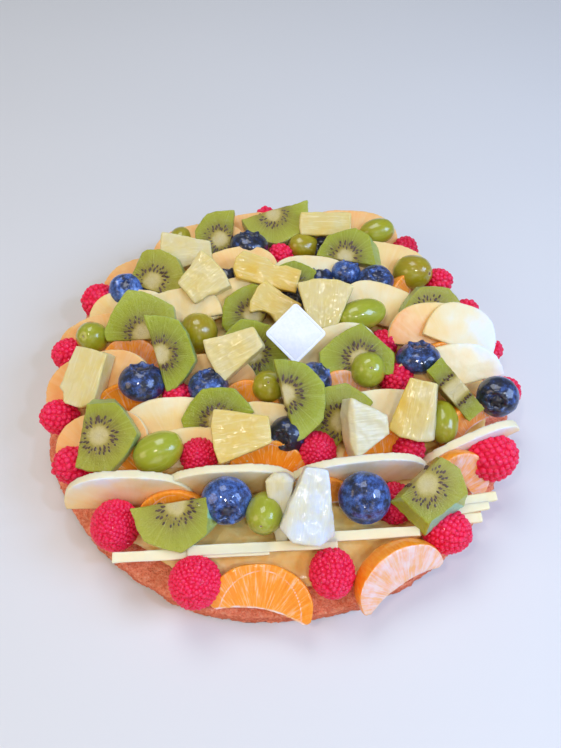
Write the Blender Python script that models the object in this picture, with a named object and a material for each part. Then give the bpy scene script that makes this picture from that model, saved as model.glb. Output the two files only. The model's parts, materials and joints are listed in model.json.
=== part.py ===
"""A round fruit tart: a thin cake base, a mound of pastry cream and a heap of cut fruit with a small plaque.

Metres, +Z up. The origin is the centre of the base's underside, and -Y is the front of the tart.
Run it with: blender --background --python part.py
"""

import math
from collections import namedtuple

import bmesh
import bpy
from mathutils import Matrix, Vector
from mathutils.bvhtree import BVHTree

MM = 0.001

# Driving dimensions
BASE_RADIUS = 120 * MM
BASE_HEIGHT = 10.5 * MM
BASE_EDGE_SOFTNESS = 1.6 * MM
BASE_UNEVENNESS = 0.9 * MM
BASE_SIDES = 48
CREAM_RADIUS = 106 * MM
CREAM_EDGE_HEIGHT = 4.5 * MM
CREAM_MOUND_HEIGHT = 13.0 * MM
CREAM_UNEVENNESS = 1.5 * MM
CREAM_SIDES = 32
GAP = 0.3 * MM
GROWTH = 0.38 * MM
PLAQUE_SIDE = 21.4 * MM
PLAQUE_CORNER = 1.8 * MM
PLAQUE_THICKNESS = 1.2 * MM
PLAQUE_FACE_INSET = 1.3 * MM
PLAQUE_FACE_DEPTH = 0.25 * MM
SLICE_THICKNESS = 4.2 * MM
SHOULDER_POWER = 0.78
KIWI_THICKNESS = 7.0 * MM
FLAT_BULGE = 0.35
SMOOTH_BELOW = math.radians(40)
FLAT_BELOW = math.radians(0.3)

# Where a piece lies: its centre in millimetres from the middle of the base's underside (x to the right,
# y to the back), the compass degrees that its own +Z faces (0 is the front, 90 the right), how many degrees
# that direction rises above level, and how far the piece is turned about it.
Spot = namedtuple("Spot", "x y z facing rise spin")

# Each fruit: its spot and its sizes in millimetres.
# Blueberry: diameter, height as a share of it. The crown is at its own +Z.
BLUEBERRIES = (
    (Spot(-81, 47, 32, 15, 66, 0), 20.5, 0.80),
    (Spot(-16, 79, 35, 170, 62, 10), 21.5, 0.70),
    (Spot(53, 52, 34, -170, 64, 20), 20, 0.74),
    (Spot(-65, -15, 35, 170, 62, 0), 23, 0.78),
    (Spot(-33, -17, 34, -150, 62, 40), 20, 0.82),
    (Spot(70, 0, 34, -170, 58, 15), 22.5, 0.70),
    (Spot(106, -21, 31, -35, 48, 30), 20.5, 0.86),
    (Spot(-22, -75, 31, 8, 42, 0), 23, 0.86),
    (Spot(38, -74, 32, -12, 58, 12), 23, 0.86),
)
# Raspberry: diameter, length. The tip is at its own +Z.
RASPBERRIES = (
    (Spot(-99, 45, 25, -60, 30, 0), 19, 19),
    (Spot(-96, -54, 23, -50, 35, 5), 17.5, 19),
    (Spot(-71, -84, 23, -10, 55, 20), 21.5, 21),
    (Spot(-34, -109, 22, 0, 45, 0), 21.5, 20),
    (Spot(23.5, -105, 23, 5, 25, 15), 19.5, 21),
    (Spot(75.5, -86, 23, 60, 25, 0), 19.5, 21),
    (Spot(101, -49.5, 26, 110, 20, 10), 21, 23.5),
)
# Grape: diameter, length. The stalk's scar is at its own +Z.
GRAPES = (
    (Spot(57, 92, 33, 100, 10, 0), 15.5, 21),
    (Spot(74, 60, 33, 55, 25, 0), 19.5, 22),
    (Spot(43, 26, 37, -68, 6, 0), 16.5, 29),
    (Spot(-94, 14, 33, -30, 50, 0), 16.5, 18),
    (Spot(44, -8, 35, 10, 60, 0), 18, 20),
    (Spot(-54, -51, 31, 115, 12, 0), 18.5, 24),
    (Spot(-5, -80, 30, -10, 35, 0), 17, 23),
)
# Kiwi: part of a slice, its circle's centre at the spot. The rim's radius, and the degrees from its own +X at
# which the corners lie that the peeling knife left. The straight cut joins the last corner to the first.
KIWIS = (
    (Spot(-1, 102, 37, 0, 72, -163), 20.5, (-4, 35, 75, 130, 186)),
    (Spot(-65, 51, 36, -20, 60, 0), 16.5, (-25, 22, 60, 97, 120, 150, 200)),
    (Spot(40, 67, 34, 0, 66, -3), 19, (-9, 35, 84, 135, 174)),
    (Spot(-69, 19, 37, 0, 62, 4), 19, (-27, 24, 106, 191, 205)),
    (Spot(-58, -3, 42, -5, 56, -70), 19.5, (0, 16, 64, 131, 182)),
    (Spot(39, -3, 36, 0, 60, -1), 19, (-22, 17, 80, 170, 202)),
    (Spot(3.6, -29.5, 41, 10, 60, -89), 19.7, (5, 15, 54, 104, 143, 186)),
    (Spot(-43, -79, 33, 0, 68, -171), 19, (-7, 39, 90, 153, 186)),
    (Spot(65, -74, 37, 12, 62, -151), 16.5, (-31, 45, 125, 182, 215)),
    (Spot(-80, -45, 35, -8, 62, -93), 17.8, (-25, 28, 101, 175, 208)),
    (Spot(84, -22, 39, 124, 22, 209), 17, (0, 45, 90, 135, 180)),
)
# Pineapple: a wedge cut from a ring, its wide end at its own +Y. Length, width at the wide and at the narrow
# end, thickness, and how far the middle of the wide end stands out.
PINEAPPLES = (
    (Spot(-50, 68, 38, 10, 60, 89), 27, 26, 10, 12, 2),
    (Spot(-39, 46, 41, 0, 58, -50), 22, 25, 14, 12, 2),
    (Spot(-6, 51, 41, 5, 56, 70), 35, 15, 12, 13, 3),
    (Spot(27, 94, 36, 0, 52, 90), 30, 13, 13, 13, 1),
    (Spot(24, 29, 41, -5, 56, 1), 25, 29, 12, 13, 3),
    (Spot(-20, -2, 43, -8, 56, 125), 26, 23, 10.5, 10, 2),
    (Spot(-91, -14, 36, -22, 60, -177), 28, 19, 16, 11, 4),
    (Spot(-16, -45, 37, 5, 64, 93), 26, 25, 11.5, 10, 2),
    (Spot(40, -41, 37, 28, 56, 72), 19, 28, 8, 12, 2),
    (Spot(65, -33, 38, -30, 55, -169), 27, 21, 12, 12, 2),
    (Spot(14, -80, 37, 5, 60, 167), 31, 25, 9, 14, 6),
)
# Mandarin segment: its inner edge at the spot, the outer arc at its own +Y and a flat side at +Z. Length,
# depth and thickness.
MANDARINS = (
    (Spot(-6, -117, 17, 0, 76, -10), 43, 19, 12),
    (Spot(52, -107, 19, 22, 52, 12), 42, 18, 13),
)
# Slice of apple: the middle of its straight side at the spot and the arc at its own +Y. Length and depth.
APPLE_SLICES = (
    (Spot(84, 10, 28, 8, 58, -12), 57, 24),
    (Spot(84, -13, 27, 10, 58, 5), 58, 21),
    (Spot(-82, 10, 28, -12, 62, 19), 58, 21),
    (Spot(-84, -19, 27, -14, 62, 23), 58, 23),
    (Spot(-79, -51, 26, -16, 64, 27), 46, 21),
    (Spot(-68, 53, 27, -20, 68, 29), 58, 21),
    (Spot(-43, 77, 27, -12, 68, 19), 58, 21),
    (Spot(58, 62, 27, 14, 66, -20), 58, 21),
)
# Slices that stand in rows and overlap, each row one body.
APPLE_ROWS = {
    "apple_row_front": (
        (Spot(-36, -97, 27, 3, -20, 180), 66, 16),
        (Spot(-6, -94.5, 28, 3, -20, 180), 64, 16),
        (Spot(35, -89.5, 29, 4, -20, 180), 52, 16),
    ),
    "apple_row_middle": (
        (Spot(-66, -70, 15.5, 2, 12, -3), 60, 22.5),
        (Spot(-21, -65, 20, 3, 8, 0), 62, 18),
        (Spot(37, -60, 19.3, 6, 8, 2), 66, 18),
        (Spot(88, -46, 22, 16, 4, 22), 54, 12),
    ),
}
PLAQUE = Spot(9, 6, 46, 0, 52, 45)

SKIN_COLOURS = {
    "base": ("C4603E", 0.85),
    "cream": ("EFC468", 0.45),
    "plaque": ("F2F4FA", 0.35),
    "apple": ("EFDFA6", 0.35),
    "pineapple": ("E6D890", 0.35),
    "kiwi": ("93AE2E", 0.30),
    "grape": ("A3AC22", 0.15),
    "blueberry": ("2C3C6C", 0.35),
    "raspberry": ("D8123A", 0.35),
    "mandarin": ("F6A032", 0.30),
}


def colour_of(hex_value):
    """The linear colour of an sRGB hex value."""
    channels = [int(hex_value[i : i + 2], 16) / 255 for i in (0, 2, 4)]
    return [c / 12.92 if c <= 0.04045 else ((c + 0.055) / 1.055) ** 2.4 for c in channels] + [1.0]


def material_for(kind):
    """The kind's material, made once."""
    if kind in bpy.data.materials:
        return bpy.data.materials[kind]
    colour, roughness = SKIN_COLOURS[kind]
    material = bpy.data.materials.new(kind)
    material.use_nodes = True
    shader = material.node_tree.nodes["Principled BSDF"]
    shader.inputs["Base Color"].default_value = colour_of(colour)
    shader.inputs["Roughness"].default_value = roughness
    shader.inputs["Metallic"].default_value = 0.0
    return material


def lofted(rings):
    """A closed body through rings of points. A ring of one point is a pole, and any other end is capped."""
    body = bmesh.new()
    rows = [[body.verts.new(point) for point in ring] for ring in rings]
    for low, high in zip(rows, rows[1:]):
        count = max(len(low), len(high))
        for i in range(count):
            j = (i + 1) % count
            corners = (low[i % len(low)], low[j % len(low)], high[j % len(high)], high[i % len(high)])
            body.faces.new(tuple(dict.fromkeys(corners)))
    for end in (rows[0], rows[-1]):
        if len(end) > 2:
            body.faces.new(end)
    bmesh.ops.triangulate(body, faces=body.faces)
    bmesh.ops.recalc_face_normals(body, faces=body.faces)
    return body


def circle(radius, height, sides, wobble=0.0):
    """A ring of points at one height, its radius uneven by wobble."""
    points = []
    for i in range(sides):
        angle = math.tau * i / sides
        waves = math.sin(3 * angle + 1) + math.sin(7 * angle + 2) + math.sin(13 * angle)
        reach = radius + wobble * waves / 2
        points.append(Vector((reach * math.cos(angle), reach * math.sin(angle), height)))
    return points


def prism(outline, thickness, bevel):
    """A flat piece on the XY plane, its two outer edges softened."""
    middle = sum(outline, Vector((0, 0, 0))) / len(outline)
    reach = max((point - middle).length for point in outline)
    inner = [middle + (point - middle) * (1 - bevel / reach) for point in outline]
    levels = (
        (inner, -thickness / 2),
        (outline, -thickness / 2 + bevel),
        (outline, thickness / 2 - bevel),
        (inner, thickness / 2),
    )
    return lofted([[point + Vector((0, 0, height)) for point in ring] for ring, height in levels])


def tart_base():
    """The cake base: a disc with a crumbly, slightly uneven edge."""
    soft = BASE_EDGE_SOFTNESS
    levels = ((BASE_RADIUS - soft / 2, 0), (BASE_RADIUS, soft / 2), (BASE_RADIUS, BASE_HEIGHT - soft))
    rings = [circle(radius, height, BASE_SIDES, BASE_UNEVENNESS) for radius, height in levels]
    rings.append(circle(BASE_RADIUS - soft, BASE_HEIGHT, BASE_SIDES, BASE_UNEVENNESS))
    return lofted(rings)


def cream_mound():
    """The pastry cream: a low dome with a rounded, uneven edge."""
    floor = BASE_HEIGHT + GAP
    rings = [circle(CREAM_RADIUS, floor, CREAM_SIDES, CREAM_UNEVENNESS)]
    rings.append(circle(CREAM_RADIUS, floor + CREAM_EDGE_HEIGHT / 2, CREAM_SIDES, CREAM_UNEVENNESS))
    for share in (0.975, 0.8, 0.55, 0.28):
        height = CREAM_EDGE_HEIGHT + (CREAM_MOUND_HEIGHT - CREAM_EDGE_HEIGHT) * (1 - share**2)
        rings.append(circle(CREAM_RADIUS * share, floor + height, CREAM_SIDES, CREAM_UNEVENNESS * share))
    rings.append([Vector((0, 0, floor + CREAM_MOUND_HEIGHT))])
    return lofted(rings)


def plaque():
    """A thin square card with rounded corners and a shallow sunk face."""
    half = PLAQUE_SIDE / 2 - PLAQUE_CORNER
    outline = []
    for corner in range(4):
        middle = Matrix.Rotation(corner * math.pi / 2, 3, "Z") @ Vector((half, half, 0))
        for step in range(3):
            angle = corner * math.pi / 2 + step * math.pi / 4
            outline.append(middle + PLAQUE_CORNER * Vector((math.cos(angle), math.sin(angle), 0)))
    sunk = 1 - PLAQUE_FACE_INSET / (PLAQUE_SIDE / 2)
    top = PLAQUE_THICKNESS / 2
    levels = ((1, -top), (1, top), (sunk, top), (sunk - 0.02, top - PLAQUE_FACE_DEPTH))
    return lofted([[point * share + Vector((0, 0, height)) for point in outline] for share, height in levels])


def blueberry(diameter, squash, sides=10):
    """A squashed ball with a five-pointed crown round a small crater."""
    radius = diameter / 2 * MM
    rings = [[Vector((0, 0, -radius * squash))]]
    for polar in (148, 118, 90, 62, 36):
        lean = math.radians(polar)
        rings.append(circle(radius * math.sin(lean), radius * squash * math.cos(lean), sides))
    tips = circle(radius * 0.40, radius * (squash * 0.93), sides)
    for i in range(0, sides, 2):
        tips[i] = tips[i] * 0.92 + Vector((0, 0, radius * 0.16))
    rings.append(tips)
    rings.append(circle(radius * 0.26, radius * squash * 0.80, sides))
    rings.append([Vector((0, 0, radius * squash * 0.74))])
    return lofted(rings)


def raspberry(diameter, length, columns=12, rows=8):
    """A blunt cone of small bumps, with the hollow where it left its stalk."""
    radius, half, bump, widest = diameter / 2 * MM, length / 2 * MM, 0.05, 0.36
    rings = [[Vector((0, 0, -half * 0.72))], circle(radius * 0.42, -half * 0.96, columns)]
    for row in range(rows):
        share = 0.04 + 0.88 * row / (rows - 1)
        span = widest if share < widest else 1 - widest
        droop = 0.30 if share < widest else 1.0
        reach = radius * math.sqrt(1 - droop * ((share - widest) / span) ** 2)
        ring = circle(reach, half * (2 * share - 1), columns)
        for i, point in enumerate(ring):
            scale = 1 + bump if (i + row) % 2 else 1 - bump
            ring[i] = Vector((point.x * scale, point.y * scale, point.z))
        rings.append(ring)
    rings.append([Vector((0, 0, half))])
    return lofted(rings)


def grape(diameter, length, sides=10):
    """An oval with the small sunk scar of its stalk."""
    radius, half = diameter / 2 * MM, length / 2 * MM
    rings = [[Vector((0, 0, -half))]]
    for polar in (150, 122, 96, 70, 42, 16):
        lean = math.radians(polar)
        rings.append(circle(radius * math.sin(lean) ** 0.92, half * math.cos(lean), sides))
    rings.append(circle(radius * 0.12, half * 0.975, sides))
    rings.append([Vector((0, 0, half * 0.93))])
    return lofted(rings)


def point_at(radius, degrees):
    """The point at this radius in millimetres and this angle on the XY plane."""
    angle = math.radians(degrees)
    return radius * MM * Vector((math.cos(angle), math.sin(angle), 0))


def kiwi_piece(radius, corners):
    """Part of a kiwi slice, its rim in the slightly bulging flats that peeling leaves."""
    outline = []
    for start, end in zip(corners, corners[1:]):
        outline.append(point_at(radius, start))
        flat = math.cos(math.radians((end - start) / 2))
        outline.append(point_at(radius * (flat + (1 - flat) * FLAT_BULGE), (start + end) / 2))
    outline.append(point_at(radius, corners[-1]))
    return prism(outline, KIWI_THICKNESS, 0.7 * MM)


def pineapple_wedge(length, wide, narrow, thickness, nose):
    """A tapering block with a bulging wide end and softened edges."""
    half, side, tip = length / 2 * MM, wide / 2 * MM, narrow / 2 * MM
    outline = [
        Vector((-tip, -half, 0)),
        Vector((0, -half * 0.94, 0)),
        Vector((tip, -half, 0)),
        Vector((side, half - nose * MM, 0)),
        Vector((side * 0.4, half, 0)),
        Vector((-side * 0.4, half, 0)),
        Vector((-side, half - nose * MM, 0)),
    ]
    return prism(outline, thickness * MM, 0.9 * MM)


def mandarin_segment(length, depth, thickness, sections=10):
    """A crescent with a thin, slightly hollow inner edge and a broad rounded back."""
    reach, deep, thick = length / 2 * MM, depth * MM, thickness * MM
    rings = [[Vector((-reach, -deep * 0.12, 0))]]
    for i in range(1, sections):
        angle = math.pi * (i / sections - 0.5)
        across, up = math.sin(angle), math.cos(angle)
        inner = Vector((reach * 0.88 * across, -deep * 0.18 * across**2, 0))
        back = Vector((reach * across, deep * (up**0.8 - 0.1 * across**2), 0))
        half = thick / 2 * up**0.6
        middle = inner.lerp(back, 0.5) + Vector((0, 0, half * 0.72))
        shoulder = inner.lerp(back, 0.90) + Vector((0, 0, half))
        low_shoulder = inner.lerp(back, 0.90) - Vector((0, 0, half))
        low_middle = inner.lerp(back, 0.5) - Vector((0, 0, half * 0.72))
        rings.append([inner, middle, shoulder, back, low_shoulder, low_middle])
    rings.append([Vector((reach, -deep * 0.12, 0))])
    return lofted(rings)


def apple_slice(length, depth, steps=10):
    """A thin slice of half an apple: a straight side, and an arc that is flatter on top than at its ends."""
    half, deep = length / 2 * MM, depth * MM
    outline = []
    for i in range(steps + 1):
        angle = math.pi * i / steps
        across, up = math.cos(angle), math.sin(angle)
        side = math.copysign(abs(across) ** SHOULDER_POWER, across)
        outline.append(Vector((half * side, deep * up**SHOULDER_POWER, 0)))
    return prism(outline, SLICE_THICKNESS, 0.5 * MM)


def add_piece(name, kind, body, spot, parent):
    """Turns a body into a named object of its kind, and puts it on its spot."""
    mesh = bpy.data.meshes.new(name)
    body.to_mesh(mesh)
    body.free()
    piece = bpy.data.objects.new(name, mesh)
    bpy.context.scene.collection.objects.link(piece)
    piece.parent = parent
    piece.location = Vector((spot.x, spot.y, spot.z)) * MM
    turn = Matrix.Rotation(math.radians(spot.facing), 3, "Z")
    turn = turn @ Matrix.Rotation(math.radians(90 - spot.rise), 3, "X")
    turn = turn @ Matrix.Rotation(math.radians(spot.spin), 3, "Z")
    piece.rotation_euler = turn.to_euler()
    mesh.materials.append(material_for(kind))
    return piece


def world_tree(piece):
    """A search tree of the piece's faces in world space."""
    points = [piece.matrix_world @ vertex.co for vertex in piece.data.vertices]
    return BVHTree.FromPolygons(points, [tuple(face.vertices) for face in piece.data.polygons])


def room_round(piece):
    """A helper one gap larger than the piece all over, which cuts room for it."""
    cutter = piece.copy()
    cutter.data = piece.data.copy()
    cutter.name = "room_" + piece.name
    body = bmesh.new()
    body.from_mesh(cutter.data)
    body.normal_update()
    grown = [vertex.co + vertex.normal * GROWTH * vertex.calc_shell_factor() for vertex in body.verts]
    for vertex, place in zip(body.verts, grown):
        vertex.co = place
    body.to_mesh(cutter.data)
    body.free()
    cutter.hide_render = True
    cutter.display_type = "WIRE"
    bpy.context.scene.collection.objects.link(cutter)
    return cutter


def boolean(piece, others, operation):
    """Applies one Boolean after another to the piece's own mesh."""
    for other in others:
        step = piece.modifiers.new(operation.title(), "BOOLEAN")
        step.operation = operation
        step.object = other
        step.solver = "EXACT"
    bpy.context.view_layer.update()
    graph = bpy.context.evaluated_depsgraph_get()
    mesh = bpy.data.meshes.new_from_object(piece.evaluated_get(graph))
    piece.modifiers.clear()
    piece.data = mesh


def islands_of(piece):
    """The numbers of the faces in each separate shell of the piece, the largest shell last."""
    body = bmesh.new()
    body.from_mesh(piece.data)
    left, found = set(body.faces), []
    while left:
        queue, island = [left.pop()], []
        while queue:
            face = queue.pop()
            island.append(face)
            near = {other for edge in face.edges for other in edge.link_faces} & left
            left -= near
            queue.extend(near)
        found.append((sum(face.calc_area() for face in island), sorted(face.index for face in island)))
    body.free()
    return [numbers for area, numbers in sorted(found)]


def keep_main_body(piece):
    """Drops the crumbs that a cut may leave beside the main body, and the edges it leaves on flat faces."""
    crumbs = {number for island in islands_of(piece)[:-1] for number in island}
    body = bmesh.new()
    body.from_mesh(piece.data)
    bmesh.ops.delete(body, geom=[face for face in body.faces if face.index in crumbs], context="FACES")
    bmesh.ops.dissolve_limit(body, angle_limit=FLAT_BELOW, verts=body.verts, edges=body.edges)
    bmesh.ops.triangulate(body, faces=body.faces)
    body.to_mesh(piece.data)
    body.free()


def joined_row(name, slices, tart):
    """A row of overlapping slices as one body."""
    row = [add_piece(name, "apple", apple_slice(*sizes), spot, tart) for spot, *sizes in slices]
    bpy.context.view_layer.update()
    boolean(row[0], row[1:], "UNION")
    for extra in row[1:]:
        bpy.data.objects.remove(extra)
    if len(islands_of(row[0])) > 1:
        raise ValueError(f"the slices of {name} do not all touch")
    return row[0]


def add_fruit(tart):
    """Every single fruit, and each row of slices."""
    makers = (
        ("blueberry", blueberry, BLUEBERRIES),
        ("raspberry", raspberry, RASPBERRIES),
        ("grape", grape, GRAPES),
        ("kiwi", kiwi_piece, KIWIS),
        ("pineapple", pineapple_wedge, PINEAPPLES),
        ("mandarin", mandarin_segment, MANDARINS),
        ("apple", apple_slice, APPLE_SLICES),
    )
    fruit = [joined_row(name, slices, tart) for name, slices in APPLE_ROWS.items()]
    for kind, maker, rows in makers:
        for number, (spot, *sizes) in enumerate(rows, start=1):
            fruit.append(add_piece(f"{kind}_{number:02d}", kind, maker(*sizes), spot, tart))
    return fruit


def height_of(piece):
    """The key that orders fruit from the lowest to the highest, slices of apple first."""
    return not piece.name.startswith("apple"), piece.location.z, piece.name


def make_room(ground, fruit):
    """Cuts each fruit clear of the ground below it and of every fruit that lies higher."""
    bpy.context.view_layer.update()
    ordered = ground + sorted(fruit, key=height_of)
    rooms = {piece: room_round(piece) for piece in ordered}
    bpy.context.view_layer.update()
    trees = {piece: (world_tree(piece), world_tree(rooms[piece])) for piece in ordered}
    for rank, piece in enumerate(ordered):
        if piece in ground:
            continue
        others = ground + ordered[rank + 1 :]
        near = [other for other in others if trees[piece][0].overlap(trees[other][1])]
        if near:
            boolean(piece, [rooms[other] for other in near], "DIFFERENCE")
            keep_main_body(piece)
    for room in rooms.values():
        bpy.data.objects.remove(room)


def build_tart():
    """Clears the scene and builds the whole tart."""
    for item in list(bpy.data.objects):
        bpy.data.objects.remove(item)
    tart = bpy.data.objects.new("fruit_tart", None)
    bpy.context.scene.collection.objects.link(tart)
    level = Spot(0, 0, 0, 0, 90, 0)
    ground = [
        add_piece("tart_base", "base", tart_base(), level, tart),
        add_piece("cream", "cream", cream_mound(), level, tart),
    ]
    fruit = add_fruit(tart)
    fruit.append(add_piece("plaque", "plaque", plaque(), PLAQUE, tart))
    make_room(ground, fruit)
    for piece in ground + fruit:
        piece.data.shade_smooth()
        piece.data.set_sharp_from_angle(angle=SMOOTH_BELOW)


build_tart()
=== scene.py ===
import sys
import json
import logging
import math
from contextlib import contextmanager
from dataclasses import dataclass, field
from enum import Enum
from typing import Callable, ClassVar, Iterator, Sequence

import bmesh
import bpy
import numpy as np
from bpy.types import Material, Node, NodeSocket, NodeTree, Object
from mathutils import Matrix, Vector, noise

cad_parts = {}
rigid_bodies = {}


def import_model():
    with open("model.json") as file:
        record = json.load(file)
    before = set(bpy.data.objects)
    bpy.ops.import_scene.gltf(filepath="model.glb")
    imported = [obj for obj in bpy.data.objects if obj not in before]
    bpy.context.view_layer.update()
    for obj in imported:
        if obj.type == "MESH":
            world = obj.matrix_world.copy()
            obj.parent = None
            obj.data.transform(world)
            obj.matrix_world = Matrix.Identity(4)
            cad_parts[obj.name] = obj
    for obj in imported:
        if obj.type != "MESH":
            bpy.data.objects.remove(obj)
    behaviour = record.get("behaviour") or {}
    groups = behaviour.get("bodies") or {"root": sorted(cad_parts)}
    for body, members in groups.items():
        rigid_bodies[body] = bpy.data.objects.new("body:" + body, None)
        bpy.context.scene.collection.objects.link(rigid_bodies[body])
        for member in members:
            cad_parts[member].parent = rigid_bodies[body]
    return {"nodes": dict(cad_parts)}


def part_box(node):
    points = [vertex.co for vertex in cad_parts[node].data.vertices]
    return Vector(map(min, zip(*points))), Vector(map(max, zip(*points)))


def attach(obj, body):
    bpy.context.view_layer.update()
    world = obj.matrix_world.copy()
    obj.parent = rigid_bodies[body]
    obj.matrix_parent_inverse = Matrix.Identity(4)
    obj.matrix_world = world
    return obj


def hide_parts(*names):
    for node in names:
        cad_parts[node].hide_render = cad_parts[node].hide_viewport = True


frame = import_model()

# A glazed fruit tart: a crumbly round base, a low mound of pastry cream, and cut and whole fruit
# heaped over it, with a small blank card on top. Sizes are in millimetres unless a name says otherwise,
# and every piece is worked in its own upright frame before it is laid on the tart.

LOG = logging.getLogger("fruit_tart")
MM = 0.001
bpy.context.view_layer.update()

# What each piece of fruit remembers of itself, so that its pattern stays with it however it lies.
OWN_PLACE = "own_place"
OWN_RIPE = "own_ripe"
OWN_MARK = "own_mark"
OWN_SEED = "own_seed"


# ---------------------------------------------------------------- work at the bench


def put_everything_down() -> None:
    """Leaves no piece selected and nothing in edit mode."""
    if bpy.context.mode != "OBJECT":
        bpy.ops.object.mode_set(mode="OBJECT")
    bpy.ops.object.select_all(action="DESELECT")


def take(piece: Object) -> None:
    """Makes one piece the only selected and the active one.

    Args:
        piece: The piece to work on.
    """
    put_everything_down()
    piece.select_set(True)
    bpy.context.view_layer.objects.active = piece


def just_added(name: str) -> Object:
    """Names the primitive that was just added, which comes with no material.

    Args:
        name: The piece's name.

    Returns:
        The new piece.
    """
    piece = bpy.context.active_object
    piece.name = name
    piece.data.name = name
    return piece


@contextmanager
def editing(piece: Object) -> Iterator[None]:
    """Edit mode on one piece, with all of it chosen at first.

    Args:
        piece: The piece to open.
    """
    take(piece)
    bpy.ops.object.mode_set(mode="EDIT")
    bpy.ops.mesh.select_all(action="SELECT")
    yield
    bpy.ops.object.mode_set(mode="OBJECT")


def choose_faces(piece: Object, test: Callable[[Vector, Vector], bool]) -> None:
    """Chooses faces in edit mode by their place and normal.

    Args:
        piece: The piece in edit mode.
        test: Takes a face's middle in millimetres and its normal.
    """
    bpy.ops.mesh.select_mode(type="FACE")
    bpy.ops.mesh.select_all(action="DESELECT")
    body = bmesh.from_edit_mesh(piece.data)
    for face in body.faces:
        face.select_set(test(face.calc_center_median() / MM, face.normal))
    bmesh.update_edit_mesh(piece.data)


def choose_points(piece: Object, test: Callable[[Vector], bool]) -> None:
    """Chooses points in edit mode by their place.

    Args:
        piece: The piece in edit mode.
        test: Takes a point in millimetres.
    """
    bpy.ops.mesh.select_mode(type="VERT")
    bpy.ops.mesh.select_all(action="DESELECT")
    body = bmesh.from_edit_mesh(piece.data)
    for point in body.verts:
        point.select_set(test(point.co / MM))
    body.select_flush_mode()
    bmesh.update_edit_mesh(piece.data)


def cut_away(point: Vector, normal: Vector) -> None:
    """Cuts off what lies beyond a plane, in edit mode, and closes the cut.

    Args:
        point: A point of the plane, in millimetres.
        normal: The direction of what goes.
    """
    bpy.ops.mesh.select_all(action="SELECT")
    bpy.ops.mesh.bisect(plane_co=point * MM, plane_no=normal, use_fill=True, clear_outer=True, threshold=1e-6)


def apply_modifiers(piece: Object) -> None:
    """Applies all of a piece's modifiers, in their order.

    Args:
        piece: The piece.
    """
    take(piece)
    for modifier in list(piece.modifiers):
        bpy.ops.object.modifier_apply(modifier=modifier.name)


def skin_over(piece: Object, voxel: float, rounds: int) -> None:
    """Gives a piece an even skin and eases its edges.

    Args:
        piece: The piece.
        voxel: The size of the skin's faces.
        rounds: How often it is smoothed.
    """
    skin = piece.modifiers.new("even skin", "REMESH")
    skin.mode = "VOXEL"
    skin.voxel_size = voxel * MM
    ease = piece.modifiers.new("eased edges", "SMOOTH")
    ease.factor = 0.5
    ease.iterations = rounds
    apply_modifiers(piece)


def roughen(
    piece: Object, depth: float, grain: tuple[float, float, float], seed: float, inward: bool = False
) -> None:
    """Makes a surface uneven, as flesh and crumb are.

    Args:
        piece: The piece.
        depth: From the lowest to the highest of it.
        grain: The size of the unevenness along the piece's own three directions.
        seed: Picks the pattern.
        inward: Whether it only goes inward.
    """
    texture = bpy.data.textures.new("unevenness", "CLOUDS")
    texture.noise_scale = 1.0
    texture.noise_depth = 2
    handle = bpy.data.objects.new("unevenness", None)
    bpy.context.scene.collection.objects.link(handle)
    handle.location = Vector((0.137, 0.071, 0.113)) * (seed + 1)
    handle.scale = Vector(grain) * MM
    bpy.context.view_layer.update()
    shove = piece.modifiers.new("unevenness", "DISPLACE")
    shove.texture = texture
    shove.texture_coords = "OBJECT"
    shove.texture_coords_object = handle
    shove.strength = depth * MM
    shove.mid_level = 0.9 if inward else 0.5
    apply_modifiers(piece)
    bpy.data.objects.remove(handle)
    bpy.data.textures.remove(texture)


def points_of(piece: Object, kind: str = "co") -> np.ndarray:
    """A piece's points, or their normals, as rows of three.

    Args:
        piece: The piece.
        kind: co for the places, in metres, or normal.

    Returns:
        The rows.
    """
    rows = np.empty(len(piece.data.vertices) * 3, np.float32)
    piece.data.vertices.foreach_get(kind, rows)
    return rows.reshape(-1, 3)


def reshape(piece: Object, move: Callable[[np.ndarray], np.ndarray]) -> None:
    """Moves a piece's points all at once, where no operator gives the shape.

    Args:
        piece: The piece.
        move: Takes the points in millimetres and returns them moved.
    """
    rows = move(points_of(piece) / MM) * MM
    piece.data.vertices.foreach_set("co", rows.astype(np.float32).ravel())
    piece.data.update()


def joined(pieces: Sequence[Object], name: str) -> Object:
    """Joins pieces into one.

    Args:
        pieces: The pieces.
        name: The name of what they become.

    Returns:
        The joined piece.
    """
    put_everything_down()
    for piece in pieces:
        piece.select_set(True)
    bpy.context.view_layer.objects.active = pieces[0]
    if len(pieces) > 1:
        bpy.ops.object.join()
    pieces[0].name = name
    pieces[0].data.name = name
    return pieces[0]


def smooth_shaded(piece: Object) -> None:
    """Shades a piece smooth.

    Args:
        piece: The piece.
    """
    take(piece)
    bpy.ops.object.shade_smooth()


def copy_of_solid(node: str, name: str) -> Object:
    """A copy of a solid with its loose triangles merged, to be worked further.

    Args:
        node: The solid's name.
        name: The copy's name.

    Returns:
        The copy.
    """
    piece = bpy.data.objects.new(name, frame["nodes"][node].data.copy())
    piece.data.name = name
    piece.data.materials.clear()
    bpy.context.scene.collection.objects.link(piece)
    with editing(piece):
        bpy.ops.mesh.remove_doubles(threshold=0.00001)
        bpy.ops.mesh.normals_make_consistent(inside=False)
    return piece


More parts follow.
